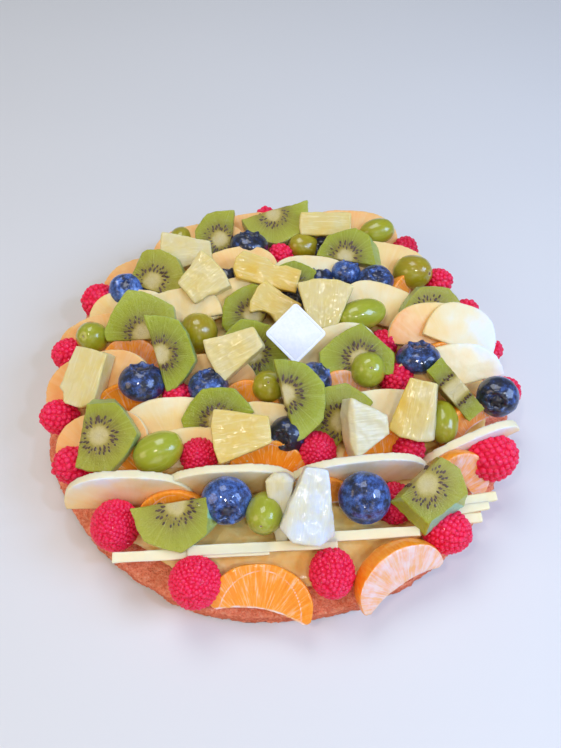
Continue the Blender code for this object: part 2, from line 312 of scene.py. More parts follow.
def remember(
    piece: Object, ripe: np.ndarray, mark: np.ndarray, seed: float, middle: tuple[float, float] = (0.0, 0.0)
) -> None:
    """Stores on each point its place in the piece's own frame, its ripeness, its mark and the seed.

    Args:
        piece: The piece, still in its own frame.
        ripe: Ripeness from 0 to 1 at each point.
        mark: What the finish needs to know at each point, from 0 to 1.
        seed: Picks the pattern.
        middle: Where the pattern has its middle, in the piece's own plan.
    """
    mesh = piece.data
    places = points_of(piece) - np.array((*middle, 0.0), np.float32) * MM
    mesh.attributes.new(OWN_PLACE, "FLOAT_VECTOR", "POINT").data.foreach_set("vector", places.ravel())
    for title, rows in ((OWN_RIPE, ripe), (OWN_MARK, mark), (OWN_SEED, np.full(len(ripe), seed))):
        rows = np.asarray(rows, np.float32)
        mesh.attributes.new(title, "FLOAT", "POINT").data.foreach_set("value", rows)


# ---------------------------------------------------------------- finishes


def linear(colour: str) -> tuple[float, float, float, float]:
    """An sRGB hex colour as the linear values that a shader takes.

    Args:
        colour: Six hex digits.

    Returns:
        Red, green, blue and an alpha of 1.
    """
    parts = [int(colour[i : i + 2], 16) / 255 for i in (0, 2, 4)]
    red, green, blue = [p / 12.92 if p <= 0.04045 else ((p + 0.055) / 1.055) ** 2.4 for p in parts]
    return red, green, blue, 1.0


def add_node(
    tree: NodeTree,
    kind: str,
    inputs: dict[int | str, object] | None = None,
    stops: Sequence[tuple[float, str]] = (),
    **settings: object,
) -> Node:
    """Adds one node with its settings, values and links.

    Args:
        tree: The material's tree.
        kind: The node's type.
        inputs: For an input's name or number, its value or the socket that feeds it.
        stops: For a colour ramp, each stop's place and hex colour.
        **settings: The node's own properties.

    Returns:
        The node.
    """
    node = tree.nodes.new(kind)
    for title, value in settings.items():
        setattr(node, title, value)
    for title, value in (inputs or {}).items():
        if isinstance(value, NodeSocket):
            tree.links.new(value, node.inputs[title])
        else:
            node.inputs[title].default_value = value
    for i, (place, colour) in enumerate(stops):
        elements = node.color_ramp.elements
        stop = elements[i] if i < 2 else elements.new(place)
        stop.position = place
        stop.color = linear(colour)
    return node


@dataclass(frozen=True)
class Own:
    """What a finish reads from the piece it is on.

    Attributes:
        place: The point in the piece's own frame.
        ripe: The ripeness, from 0 to 1.
        mark: The mark, from 0 to 1.
        seed: The piece's seed.
    """

    place: NodeSocket
    ripe: NodeSocket
    mark: NodeSocket
    seed: NodeSocket


@dataclass(frozen=True)
class Finish:
    """A finish: how it takes the light, and a colour and a relief that each kind draws in its own way.

    Attributes:
        title: The material's name.
        slot: The record's material slot.
        roughness: Of the flesh or skin under the glaze.
        glaze: How much of it the clear glaze covers.
        glaze_roughness: Of the glaze.
        softness: The share of light that passes through the flesh.
        reach: How far red, green and blue light travel in it.
        ior: Of the flesh or skin.
        depth: The relief's depth.
    """

    title: str
    slot: str
    roughness: float = 0.45
    glaze: float = 0.6
    glaze_roughness: float = 0.10
    softness: float = 0.35
    reach: tuple[float, float, float] = (2.0, 1.4, 0.7)
    ior: float = 1.37
    depth: float = 0.12

    def material(self) -> Material:
        """The material, made once.

        Returns:
            The material.
        """
        if self.title in bpy.data.materials:
            return bpy.data.materials[self.title]
        material = bpy.data.materials.new(self.title)
        material.use_nodes = True
        tree = material.node_tree
        own = Own(
            add_node(tree, "ShaderNodeAttribute", attribute_name=OWN_PLACE).outputs["Vector"],
            add_node(tree, "ShaderNodeAttribute", attribute_name=OWN_RIPE).outputs["Fac"],
            add_node(tree, "ShaderNodeAttribute", attribute_name=OWN_MARK).outputs["Fac"],
            add_node(tree, "ShaderNodeAttribute", attribute_name=OWN_SEED).outputs["Fac"],
        )
        shader = tree.nodes["Principled BSDF"]
        shader.inputs["Roughness"].default_value = self.roughness
        shader.inputs["IOR"].default_value = self.ior
        shader.inputs["Coat Weight"].default_value = self.glaze
        shader.inputs["Coat Roughness"].default_value = self.glaze_roughness
        shader.inputs["Subsurface Weight"].default_value = self.softness
        shader.inputs["Subsurface Radius"].default_value = Vector(self.reach) * MM
        shader.inputs["Subsurface Scale"].default_value = 1.0
        tree.links.new(self.colour(tree, own), shader.inputs["Base Color"])
        relief = add_node(
            tree, "ShaderNodeBump", {"Height": self.relief(tree, own), "Distance": self.depth * MM, "Strength": 1.0}
        )
        tree.links.new(relief.outputs["Normal"], shader.inputs["Normal"])
        tree.links.new(relief.outputs["Normal"], shader.inputs["Coat Normal"])
        self.further(tree, shader, own)
        return material

    def colour(self, tree: NodeTree, own: Own) -> NodeSocket:
        """Draws the colour.

        Args:
            tree: The material's tree.
            own: What the piece remembers.

        Returns:
            The colour's socket.
        """
        raise NotImplementedError

    def relief(self, tree: NodeTree, own: Own) -> NodeSocket:
        """Draws the fine relief: here a faint unevenness of the glaze.

        Args:
            tree: The material's tree.
            own: What the piece remembers.

        Returns:
            The height's socket, from 0 to 1.
        """
        return add_node(
            tree,
            "ShaderNodeTexNoise",
            {"Vector": own.place, "W": own.seed, "Scale": 1 / (1.1 * MM), "Detail": 2.0},
            noise_dimensions="4D",
        ).outputs["Fac"]

    def further(self, tree: NodeTree, shader: Node, own: Own) -> None:
        """Sets what only some finishes have.

        Args:
            tree: The material's tree.
            shader: The material's shader.
            own: What the piece remembers.
        """


class KiwiFlesh(Finish):
    """Peeled kiwi, sliced and glazed: a pale core, olive round the seeds, then bright green crossed by pale rays.

    The cut sides are painted lighter and cooler than the face: a painted sheen of cool light on the peeled flats.
    """

    CORE: ClassVar[str] = "DFD2A4"
    RAY: ClassVar[str] = "CBD068"
    # A painted sheen: the light cyan green that cool light gives the peeled flats.
    SIDE: ClassVar[str] = "90D0B4"

    def colour(self, tree: NodeTree, own: Own) -> NodeSocket:
        """Draws rings by the distance from the core, and rays by the direction from it, then the painted cool sheen on
        the flats.

        Args:
            tree: The material's tree.
            own: What the piece remembers.

        Returns:
            The colour's socket.
        """
        flat = add_node(
            tree, "ShaderNodeVectorMath", {0: own.place, 1: (1000.0, 1000.0, 0.0)}, operation="MULTIPLY"
        ).outputs[0]
        reach = add_node(tree, "ShaderNodeVectorMath", {0: flat}, operation="LENGTH").outputs["Value"]
        stray = add_node(
            tree,
            "ShaderNodeTexNoise",
            {"Vector": flat, "W": own.seed, "Scale": 0.33, "Detail": 2.0},
            noise_dimensions="4D",
        ).outputs["Fac"]
        ray = self.ray(tree, own)
        bent = add_node(tree, "ShaderNodeMath", {0: stray, 1: 3.4, 2: -1.7}, operation="MULTIPLY_ADD").outputs[0]
        frayed = add_node(tree, "ShaderNodeMath", {0: ray, 1: 2.4, 2: bent}, operation="MULTIPLY_ADD").outputs[0]
        ring = add_node(tree, "ShaderNodeMath", {0: reach, 1: frayed}, operation="ADD").outputs[0]
        share = add_node(tree, "ShaderNodeMath", {0: ring, 1: 0.05}, operation="MULTIPLY").outputs[0]
        rings = add_node(
            tree,
            "ShaderNodeValToRGB",
            {"Fac": share},
            stops=(
                (0.0, self.CORE),
                (1.0, "A8B236"),
                (0.22, "D4C284"),
                (0.31, "A89438"),
                (0.40, "847612"),
                (0.52, "88880A"),
                (0.70, "969C08"),
                (0.90, "A0A814"),
            ),
        ).outputs[0]
        pale = add_node(
            tree, "ShaderNodeMapRange", {0: ray, 1: 0.50, 2: 0.72, 3: 0.0, 4: 0.34}, interpolation_type="SMOOTHSTEP"
        ).outputs[0]
        outside = add_node(tree, "ShaderNodeMapRange", {0: reach, 1: 4.5, 2: 8.0}).outputs[0]
        amount = add_node(tree, "ShaderNodeMath", {0: pale, 1: outside}, operation="MULTIPLY").outputs[0]
        rayed = add_node(
            tree, "ShaderNodeMix", {0: amount, 6: rings, 7: linear(self.RAY)}, data_type="RGBA"
        ).outputs[2]
        inner = add_node(tree, "ShaderNodeMapRange", {0: reach, 1: 4.2, 2: 6.0}).outputs[0]
        outer = add_node(tree, "ShaderNodeMapRange", {0: reach, 1: 11.5, 2: 8.0}).outputs[0]
        zone = add_node(tree, "ShaderNodeMath", {0: inner, 1: outer}, operation="MULTIPLY").outputs[0]
        cleft = add_node(tree, "ShaderNodeMapRange", {0: ray, 1: 0.52, 2: 0.38, 3: 0.0, 4: 0.75}).outputs[0]
        shade = add_node(tree, "ShaderNodeMath", {0: zone, 1: cleft}, operation="MULTIPLY").outputs[0]
        rayed = add_node(
            tree, "ShaderNodeMix", {0: shade, 6: rayed, 7: linear("4E4A22")}, data_type="RGBA"
        ).outputs[2]
        golden = add_node(tree, "ShaderNodeMath", {0: own.ripe, 1: 0.65}, operation="MULTIPLY").outputs[0]
        riper = add_node(
            tree,
            "ShaderNodeMix",
            {0: golden, 6: rayed, 7: linear("C3B04A")},
            data_type="RGBA",
            blend_type="MIX",
        ).outputs[2]
        # Painted cool sheen: the peeled flats turn light cyan green by their mark.
        painted_sheen_amount = add_node(
            tree, "ShaderNodeMapRange", {0: own.mark, 1: 0.25, 2: 0.80, 3: 0.0, 4: 0.85}
        ).outputs[0]
        return add_node(
            tree, "ShaderNodeMix", {0: painted_sheen_amount, 6: riper, 7: linear(self.SIDE)}, data_type="RGBA"
        ).outputs[2]

    def ray(self, tree: NodeTree, own: Own) -> NodeSocket:
        """Rays of the flesh: about 1 mm apart near the rim, with no seam where the circle closes.

        Args:
            tree: The material's tree.
            own: What the piece remembers.

        Returns:
            The rays, from 0 to 1.
        """
        flat = add_node(
            tree, "ShaderNodeVectorMath", {0: own.place, 1: (1000.0, 1000.0, 0.0)}, operation="MULTIPLY"
        ).outputs[0]
        way = add_node(tree, "ShaderNodeVectorMath", {0: flat}, operation="NORMALIZE").outputs[0]
        return add_node(
            tree,
            "ShaderNodeTexNoise",
            {"Vector": way, "W": own.seed, "Scale": 19.0, "Detail": 3.0, "Roughness": 0.65},
            noise_dimensions="4D",
        ).outputs["Fac"]

    def relief(self, tree: NodeTree, own: Own) -> NodeSocket:
        """Draws the ridged rays with the wet grain of cut flesh over them.

        Args:
            tree: The material's tree.
            own: What the piece remembers.

        Returns:
            The height's socket.
        """
        grain = add_node(
            tree,
            "ShaderNodeTexNoise",
            {"Vector": own.place, "Scale": 1 / (0.6 * MM), "Detail": 3.0, "Roughness": 0.7},
        ).outputs["Fac"]
        return add_node(
            tree, "ShaderNodeMath", {0: self.ray(tree, own), 1: 0.8, 2: grain}, operation="MULTIPLY_ADD"
        ).outputs[0]


class SeedCoat(Finish):
    """Kiwi seeds: nearly black, wet, with a warm brown cast."""

    def colour(self, tree: NodeTree, own: Own) -> NodeSocket:
        """Draws each seed a little lighter or darker than the next.

        Args:
            tree: The material's tree.
            own: What the piece remembers.

        Returns:
            The colour's socket.
        """
        return add_node(
            tree, "ShaderNodeValToRGB", {"Fac": own.ripe}, stops=((0.0, "24160E"), (1.0, "6A4834"))
        ).outputs[0]


class FleshOfApple(Finish):
    """Thin slices of peeled apple in glaze: milky where fresh, peach where the syrup has soaked in.

    The outer rim is creamier than the face, partly its own pale yellow and partly painted light along its lit edge, and
    the flesh is finely fibrous.
    """

    def colour(self, tree: NodeTree, own: Own) -> NodeSocket:
        """Draws milky to peach by ripeness, with soft clouds and a creamy rim that is partly painted light.

        Args:
            tree: The material's tree.
            own: What the piece remembers.

        Returns:
            The colour's socket.
        """
        cloud = add_node(
            tree,
            "ShaderNodeTexNoise",
            {"Vector": own.place, "W": own.seed, "Scale": 1 / (11 * MM), "Detail": 4.0},
            noise_dimensions="4D",
        ).outputs["Fac"]
        soaked = add_node(tree, "ShaderNodeMath", {0: cloud, 1: 0.55, 2: own.ripe}, operation="MULTIPLY_ADD").outputs[0]
        ripe = add_node(tree, "ShaderNodeMath", {0: soaked, 1: 0.275}, operation="SUBTRACT").outputs[0]
        flesh = add_node(
            tree,
            "ShaderNodeValToRGB",
            {"Fac": ripe},
            stops=((0.0, "E2EAF4"), (1.0, "F2A656"), (0.16, "E8EAE6"), (0.30, "F0E2B8"), (0.52, "F4D48E"), (0.76, "F5C07A")),
        ).outputs[0]
        from_core = add_node(
            tree, "ShaderNodeVectorMath", {0: own.place, 1: (0.0, 0.005, 0.0)}, operation="ADD"
        ).outputs[0]
        flat = add_node(
            tree, "ShaderNodeVectorMath", {0: from_core, 1: (1000.0, 1000.0, 0.0)}, operation="MULTIPLY"
        ).outputs[0]
        way = add_node(tree, "ShaderNodeVectorMath", {0: flat}, operation="NORMALIZE").outputs[0]
        strand = add_node(
            tree,
            "ShaderNodeTexNoise",
            {"Vector": way, "W": own.seed, "Scale": 16.0, "Detail": 3.0},
            noise_dimensions="4D",
        ).outputs["Fac"]
        faint = add_node(tree, "ShaderNodeMapRange", {0: strand, 1: 0.45, 2: 0.75, 3: 0.0, 4: 0.13}).outputs[0]
        strands = add_node(
            tree, "ShaderNodeMix", {0: faint, 6: flesh, 7: linear("FBF3E2")}, data_type="RGBA"
        ).outputs[2]
        # The creamy rim: partly the flesh's own pale yellow, partly painted light on the lit edge.
        rim = add_node(tree, "ShaderNodeMapRange", {0: own.mark, 1: 0.25, 2: 0.8, 3: 0.0, 4: 0.8}).outputs[0]
        return add_node(
            tree, "ShaderNodeMix", {0: rim, 6: strands, 7: linear("F0E4B8")}, data_type="RGBA"
        ).outputs[2]


class PineappleFlesh(Finish):
    """Cut pineapple: pale yellow to golden, drawn into long fibres, translucent at its edges."""

    def strands(self, tree: NodeTree, own: Own, width: float) -> NodeSocket:
        """Long fibres from the core outwards.

        Args:
            tree: The material's tree.
            own: What the piece remembers.
            width: How wide one fibre is.

        Returns:
            The fibres, from 0 to 1.
        """
        drawn = add_node(
            tree,
            "ShaderNodeVectorMath",
            {0: own.place, 1: (1 / (width * MM), 1 / (11 * MM), 1 / (width * 1.4 * MM))},
            operation="MULTIPLY",
        ).outputs[0]
        return add_node(
            tree,
            "ShaderNodeTexNoise",
            {"Vector": drawn, "W": own.seed, "Scale": 1.0, "Detail": 3.0, "Distortion": 0.35},
            noise_dimensions="4D",
        ).outputs["Fac"]

    def colour(self, tree: NodeTree, own: Own) -> NodeSocket:
        """Draws the ripeness, then pale fibres over it.

        Args:
            tree: The material's tree.
            own: What the piece remembers.

        Returns:
            The colour's socket.
        """
        cloud = add_node(
            tree,
            "ShaderNodeTexNoise",
            {"Vector": own.place, "W": own.seed, "Scale": 1 / (9 * MM), "Detail": 3.0},
            noise_dimensions="4D",
        ).outputs["Fac"]
        soaked = add_node(tree, "ShaderNodeMath", {0: cloud, 1: 0.6, 2: own.ripe}, operation="MULTIPLY_ADD").outputs[0]
        ripe = add_node(tree, "ShaderNodeMath", {0: soaked, 1: 0.3}, operation="SUBTRACT").outputs[0]
        flesh = add_node(
            tree,
            "ShaderNodeValToRGB",
            {"Fac": ripe},
            stops=((0.0, "D6DEE4"), (1.0, "DEA22C"), (0.22, "DCD4B0"), (0.50, "DECA82"), (0.76, "E0BC50")),
        ).outputs[0]
        pale = add_node(
            tree, "ShaderNodeMapRange", {0: self.strands(tree, own, 0.8), 1: 0.54, 2: 0.72, 3: 0.0, 4: 0.40}
        ).outputs[0]
        return add_node(
            tree, "ShaderNodeMix", {0: pale, 6: flesh, 7: linear("F4EBC4")}, data_type="RGBA"
        ).outputs[2]

    def relief(self, tree: NodeTree, own: Own) -> NodeSocket:
        """Draws the ridges between the fibres.

        Args:
            tree: The material's tree.
            own: What the piece remembers.

        Returns:
            The height's socket.
        """
        return self.strands(tree, own, 0.8)


class MandarinFlesh(Finish):
    """A mandarin segment in its thin skin: bright orange juice sacs under white threads of pith."""

    def colour(self, tree: NodeTree, own: Own) -> NodeSocket:
        """Draws juice sacs fanned from the inner edge, then threads and patches of pith.

        Args:
            tree: The material's tree.
            own: What the piece remembers.

        Returns:
            The colour's socket.
        """
        from_edge = add_node(
            tree, "ShaderNodeVectorMath", {0: own.place, 1: (0.0, 0.012, 0.0)}, operation="ADD"
        ).outputs[0]
        flat = add_node(
            tree, "ShaderNodeVectorMath", {0: from_edge, 1: (1000.0, 1000.0, 150.0)}, operation="MULTIPLY"
        ).outputs[0]
        way = add_node(tree, "ShaderNodeVectorMath", {0: flat}, operation="NORMALIZE").outputs[0]
        near = add_node(
            tree, "ShaderNodeVectorMath", {0: own.place, 1: [1 / (10 * MM)] * 3}, operation="MULTIPLY"
        ).outputs[0]
        along = add_node(
            tree, "ShaderNodeVectorMath", {0: way, 1: (20.0, 20.0, 6.0), 2: near}, operation="MULTIPLY_ADD"
        ).outputs[0]
        sac = add_node(
            tree,
            "ShaderNodeTexNoise",
            {"Vector": along, "W": own.seed, "Scale": 1.0, "Detail": 4.0, "Roughness": 0.6},
            noise_dimensions="4D",
        ).outputs["Fac"]
        juice = add_node(
            tree, "ShaderNodeValToRGB", {"Fac": sac}, stops=((0.32, "F98A10"), (0.68, "FFAE44"), (0.5, "FF9A22"))
        ).outputs[0]
        cloud = add_node(
            tree,
            "ShaderNodeTexNoise",
            {"Vector": own.place, "W": own.seed, "Scale": 1 / (5 * MM), "Detail": 4.0},
            noise_dimensions="4D",
        ).outputs["Fac"]
        thread = add_node(tree, "ShaderNodeMapRange", {0: sac, 1: 0.55, 2: 0.66, 3: 0.0, 4: 0.34}).outputs[0]
        side = add_node(tree, "ShaderNodeMapRange", {0: own.mark, 1: 0.25, 2: 0.45}).outputs[0]
        threads = add_node(tree, "ShaderNodeMath", {0: thread, 1: side}, operation="MULTIPLY").outputs[0]
        veil = add_node(tree, "ShaderNodeMath", {0: cloud, 1: own.ripe}, operation="ADD").outputs[0]
        drawn = add_node(tree, "ShaderNodeMath", {0: sac, 1: -1.5, 2: veil}, operation="MULTIPLY_ADD").outputs[0]
        skin = add_node(tree, "ShaderNodeMapRange", {0: drawn, 1: 0.25, 2: 0.85, 3: 0.0, 4: 0.85}).outputs[0]
        film = add_node(tree, "ShaderNodeMath", {0: skin, 1: side}, operation="MULTIPLY").outputs[0]
        pith = add_node(tree, "ShaderNodeMath", {0: threads, 1: film}, operation="MAXIMUM").outputs[0]
        line = add_node(tree, "ShaderNodeMapRange", {0: own.mark, 1: 0.68, 2: 0.95, 3: 0.0, 4: 0.85}).outputs[0]
        torn = add_node(tree, "ShaderNodeMapRange", {0: cloud, 1: 0.38, 2: 0.56}).outputs[0]
        lines = add_node(tree, "ShaderNodeMath", {0: line, 1: torn}, operation="MULTIPLY").outputs[0]
        edged = add_node(tree, "ShaderNodeMath", {0: pith, 1: lines}, operation="MAXIMUM").outputs[0]
        return add_node(
            tree, "ShaderNodeMix", {0: edged, 6: juice, 7: linear("FBE2DE")}, data_type="RGBA"
        ).outputs[2]


class GrapeSkin(Finish):
    """White grapes: a thin tight skin over clear flesh, yellow-green with faint lengthwise veins."""

    def colour(self, tree: NodeTree, own: Own) -> NodeSocket:
        """Draws green to amber by ripeness, the veins, and the corky scar of the stalk.

        Args:
            tree: The material's tree.
            own: What the piece remembers.

        Returns:
            The colour's socket.
        """
        cloud = add_node(
            tree,
            "ShaderNodeTexNoise",
            {"Vector": own.place, "W": own.seed, "Scale": 1 / (10 * MM), "Detail": 2.0},
            noise_dimensions="4D",
        ).outputs["Fac"]
        turned = add_node(tree, "ShaderNodeMath", {0: cloud, 1: 0.7, 2: own.ripe}, operation="MULTIPLY_ADD").outputs[0]
        ripe = add_node(tree, "ShaderNodeMath", {0: turned, 1: 0.35}, operation="SUBTRACT").outputs[0]
        skin = add_node(
            tree,
            "ShaderNodeValToRGB",
            {"Fac": ripe},
            stops=((0.0, "A4AE30"), (1.0, "A67C18"), (0.4, "A3A21E"), (0.7, "A59214")),
        ).outputs[0]
        drawn = add_node(
            tree,
            "ShaderNodeVectorMath",
            {0: own.place, 1: (1 / (1.6 * MM), 1 / (1.6 * MM), 1 / (14 * MM))},
            operation="MULTIPLY",
        ).outputs[0]
        vein = add_node(tree, "ShaderNodeTexNoise", {"Vector": drawn, "Scale": 1.0, "Detail": 2.0}).outputs["Fac"]
        faint = add_node(tree, "ShaderNodeMapRange", {0: vein, 1: 0.50, 2: 0.75, 3: 0.0, 4: 0.22}).outputs[0]
        veined = add_node(
            tree, "ShaderNodeMix", {0: faint, 6: skin, 7: linear("D6D67A")}, data_type="RGBA"
        ).outputs[2]
        scar = add_node(
            tree,
            "ShaderNodeValToRGB",
            {"Fac": own.mark},
            stops=((0.0, "C8B878"), (1.0, "4A2E18"), (0.55, "B9A878"), (0.75, "7C5530")),
        ).outputs[0]
        corky = add_node(tree, "ShaderNodeMapRange", {0: own.mark, 1: 0.25, 2: 0.5}).outputs[0]
        return add_node(tree, "ShaderNodeMix", {0: corky, 6: veined, 7: scar}, data_type="RGBA").outputs[2]


class BerryBloom(Finish):
    """Blueberries: dark blue skin under a waxy bloom that handling has rubbed off in patches."""

    def colour(self, tree: NodeTree, own: Own) -> NodeSocket:
        """Draws the bloom as patches and fine rubs over dark skin.

        Args:
            tree: The material's tree.
            own: What the piece remembers.

        Returns:
            The colour's socket.
        """
        patch = add_node(
            tree,
            "ShaderNodeTexNoise",
            {"Vector": own.place, "W": own.seed, "Scale": 1 / (3.4 * MM), "Detail": 8.0, "Roughness": 0.76},
            noise_dimensions="4D",
        ).outputs["Fac"]
        rubbed = add_node(tree, "ShaderNodeMapRange", {0: own.ripe, 1: 0.0, 2: 1.0, 3: 0.12, 4: -0.12}).outputs[0]
        level = add_node(tree, "ShaderNodeMath", {0: patch, 1: rubbed}, operation="ADD").outputs[0]
        skin = add_node(
            tree,
            "ShaderNodeValToRGB",
            {"Fac": level},
            stops=((0.36, "0A0C16"), (0.80, "A2BEE8"), (0.46, "1A2440"), (0.55, "34508C"), (0.65, "547CC6")),
        ).outputs[0]
        return add_node(
            tree, "ShaderNodeMix", {0: own.mark, 6: skin, 7: linear("14131F")}, data_type="RGBA"
        ).outputs[2]

    def further(self, tree: NodeTree, shader: Node, own: Own) -> None:
        """Gives the bloom its waxy blue sheen.

        Args:
            tree: The material's tree.
            shader: The material's shader.
            own: What the piece remembers.
        """
        shader.inputs["Sheen Weight"].default_value = 0.25
        shader.inputs["Sheen Roughness"].default_value = 0.4
        shader.inputs["Sheen Tint"].default_value = linear("6E9BFF")


class RaspberrySkin(Finish):
    """Raspberries: tight wet beads of crimson, with painted shade, nearly black-red, in the clefts between them and a
    painted pink highlight on the bead tops.
    """

    def colour(self, tree: NodeTree, own: Own) -> NodeSocket:
        """Draws painted shade in the clefts and a painted pink highlight on the bead tops, some riper than others.

        Args:
            tree: The material's tree.
            own: What the piece remembers.

        Returns:
            The colour's socket.
        """
        # Painted shade and highlight: dark red in the clefts, bright crimson turning pink on the bead tops, by how far
        # a point stands out.
        bead = add_node(
            tree,
            "ShaderNodeValToRGB",
            {"Fac": own.mark},
            stops=((0.0, "A60018"), (1.0, "FF2C5C"), (0.35, "E4002C"), (0.7, "FF063E")),
        ).outputs[0]
        dull = add_node(tree, "ShaderNodeMath", {0: own.ripe, 1: 0.5}, operation="MULTIPLY").outputs[0]
        return add_node(
            tree, "ShaderNodeMix", {0: dull, 6: bead, 7: linear("B40C2C")}, data_type="RGBA"
        ).outputs[2]


class CakeCrumb(Finish):
    """Baked almond biscuit: a dry open crumb, salmon-brown on top and deeper on its sides."""

    def colour(self, tree: NodeTree, own: Own) -> NodeSocket:
        """Draws the mottled crumb with browned specks, darker at the side.

        Args:
            tree: The material's tree.
            own: What the piece remembers.

        Returns:
            The colour's socket.
        """
        crumb = add_node(
            tree,
            "ShaderNodeTexNoise",
            {"Vector": own.place, "Scale": 1 / (1.5 * MM), "Detail": 6.0, "Roughness": 0.75},
        ).outputs["Fac"]
        top = add_node(
            tree,
            "ShaderNodeValToRGB",
            {"Fac": crumb},
            stops=((0.28, "B85038"), (0.80, "FFD8C0"), (0.42, "EA7E58"), (0.55, "F89A74"), (0.66, "FFB898")),
        ).outputs[0]
        side = add_node(
            tree,
            "ShaderNodeValToRGB",
            {"Fac": crumb},
            stops=((0.28, "A04428"), (0.80, "FAB08A"), (0.42, "D86240"), (0.55, "EC7A54"), (0.66, "F49268")),
        ).outputs[0]
        return add_node(tree, "ShaderNodeMix", {0: own.mark, 6: top, 7: side}, data_type="RGBA").outputs[2]

    def relief(self, tree: NodeTree, own: Own) -> NodeSocket:
        """Draws the pores and grains of the crumb.

        Args:
            tree: The material's tree.
            own: What the piece remembers.

        Returns:
            The height's socket.
        """
        grain = add_node(
            tree, "ShaderNodeTexVoronoi", {"Vector": own.place, "Scale": 1 / (0.9 * MM)}
        ).outputs["Distance"]
        pore = add_node(
            tree,
            "ShaderNodeTexNoise",
            {"Vector": own.place, "Scale": 1 / (1.3 * MM), "Detail": 5.0, "Roughness": 0.7},
        ).outputs["Fac"]
        return add_node(tree, "ShaderNodeMath", {0: grain, 1: pore}, operation="ADD").outputs[0]


class PastryCream(Finish):
    """Vanilla pastry cream, spread by hand: smooth, egg-yellow, with a faint skin."""

    def colour(self, tree: NodeTree, own: Own) -> NodeSocket:
        """Draws soft clouds of deeper yellow.

        Args:
            tree: The material's tree.
            own: What the piece remembers.

        Returns:
            The colour's socket.
        """
        cloud = add_node(
            tree,
            "ShaderNodeTexNoise",
            {"Vector": own.place, "Scale": 1 / (8 * MM), "Detail": 4.0},
        ).outputs["Fac"]
        return add_node(
            tree, "ShaderNodeValToRGB", {"Fac": cloud}, stops=((0.3, "FFC45A"), (0.7, "FFE69E"))
        ).outputs[0]


class BlankCard(Finish):
    """A pressed white card with a smooth, slightly blue-white face and a thin sunk border."""

    def colour(self, tree: NodeTree, own: Own) -> NodeSocket:
        """Draws a barely mottled white.

        Args:
            tree: The material's tree.
            own: What the piece remembers.

        Returns:
            The colour's socket.
        """
        fibre = add_node(
            tree,
            "ShaderNodeTexNoise",
            {"Vector": own.place, "Scale": 1 / (1.5 * MM), "Detail": 4.0},
        ).outputs["Fac"]
        return add_node(
            tree, "ShaderNodeValToRGB", {"Fac": fibre}, stops=((0.3, "E8ECFA"), (0.7, "F3F5FF"))
        ).outputs[0]


KIWI = KiwiFlesh("kiwi, peeled and glazed", "kiwi", 0.40, 0.80, 0.04, 0.35, (1.6, 1.8, 0.4), 1.33, 0.40)
SEEDS = SeedCoat("kiwi seed coat, wet", "kiwi", 0.4, 0.35, 0.10, 0.0, (1, 1, 1), 1.45, 0.02)
FRESH_SLICE = FleshOfApple("apple flesh, glazed", "apple", 0.55, 0.18, 0.22, 0.4, (3.0, 2.2, 1.4), 1.35, 0.04)
PINEAPPLE = PineappleFlesh("pineapple flesh, glazed", "pineapple", 0.48, 0.46, 0.12, 0.55, (3.4, 3.0, 0.9), 1.33, 0.17)
MANDARIN = MandarinFlesh("mandarin segment, glazed", "mandarin", 0.4, 0.45, 0.12, 0.35, (3.0, 1.4, 0.4), 1.37, 0.1)
GRAPE = GrapeSkin("white grape skin, glazed", "grape", 0.30, 1.0, 0.03, 0.5, (4.0, 4.0, 1.0), 1.37, 0.02)
BLUEBERRY = BerryBloom("blueberry skin with bloom", "blueberry", 0.45, 1.0, 0.03, 0.0, (1, 1, 1), 1.40, 0.05)
RASPBERRY = RaspberrySkin("raspberry beads, glazed", "raspberry", 0.45, 0.32, 0.10, 0.3, (2.6, 0.4, 0.6), 1.30, 0.05)
CRUMB = CakeCrumb("almond biscuit, baked", "base", 0.85, 0.0, 0.5, 0.1, (1.2, 0.7, 0.4), 1.40, 0.5)
CREAM = PastryCream("pastry cream, spread", "cream", 0.35, 0.5, 0.15, 0.35, (2.5, 1.8, 0.8), 1.40, 0.12)
CARD = BlankCard("white card, pressed", "plaque", 0.4, 0.15, 0.2, 0.15, (1.0, 1.0, 1.2), 1.45, 0.01)


# ---------------------------------------------------------------- fruit


@dataclass(frozen=True)
class Lie:
    """How a piece lies.

    Attributes:
        facing: The way its best side looks, in degrees round the tart: 0 is the front and 90 the right.
        rise: How steeply it looks up.
        spin: Its own turn about that direction.
    """

    facing: float
    rise: float
    spin: float = 0.0

    def turn(self) -> Matrix:
        """The turn from the piece's own frame to the tart's."""
        level = Matrix.Rotation(math.radians(self.facing), 4, "Z")
        lean = Matrix.Rotation(math.radians(90 - self.rise), 4, "X")
        return level @ lean @ Matrix.Rotation(math.radians(self.spin), 4, "Z")


@dataclass(frozen=True)
class Ripe:
    """How far the flesh has turned, from 0 to 1.

    Attributes:
        left: At its own left end.
        right: At its own right end.
        foot: What is added towards its own lower edge; on apple slices it is partly turned flesh and partly painted
            warm shade below the lit top edge.
    """

    left: float = 0.5
    right: float = 0.5
    foot: float = 0.0

    def over(self, places: np.ndarray) -> np.ndarray:
        """The ripeness at each point.

        Args:
            places: The points in the piece's own frame.

        Returns:
            One value for each.
        """
        low, high = places.min(axis=0), places.max(axis=0)
        across = (places[:, 0] - low[0]) / (high[0] - low[0] + 1e-9)
        down = (high[1] - places[:, 1]) / (high[1] - low[1] + 1e-9)
        # The foot term makes the lower edge riper: on apple slices partly turned flesh, partly painted shade.
        return np.clip(self.left + (self.right - self.left) * across + self.foot * down, 0, 1)


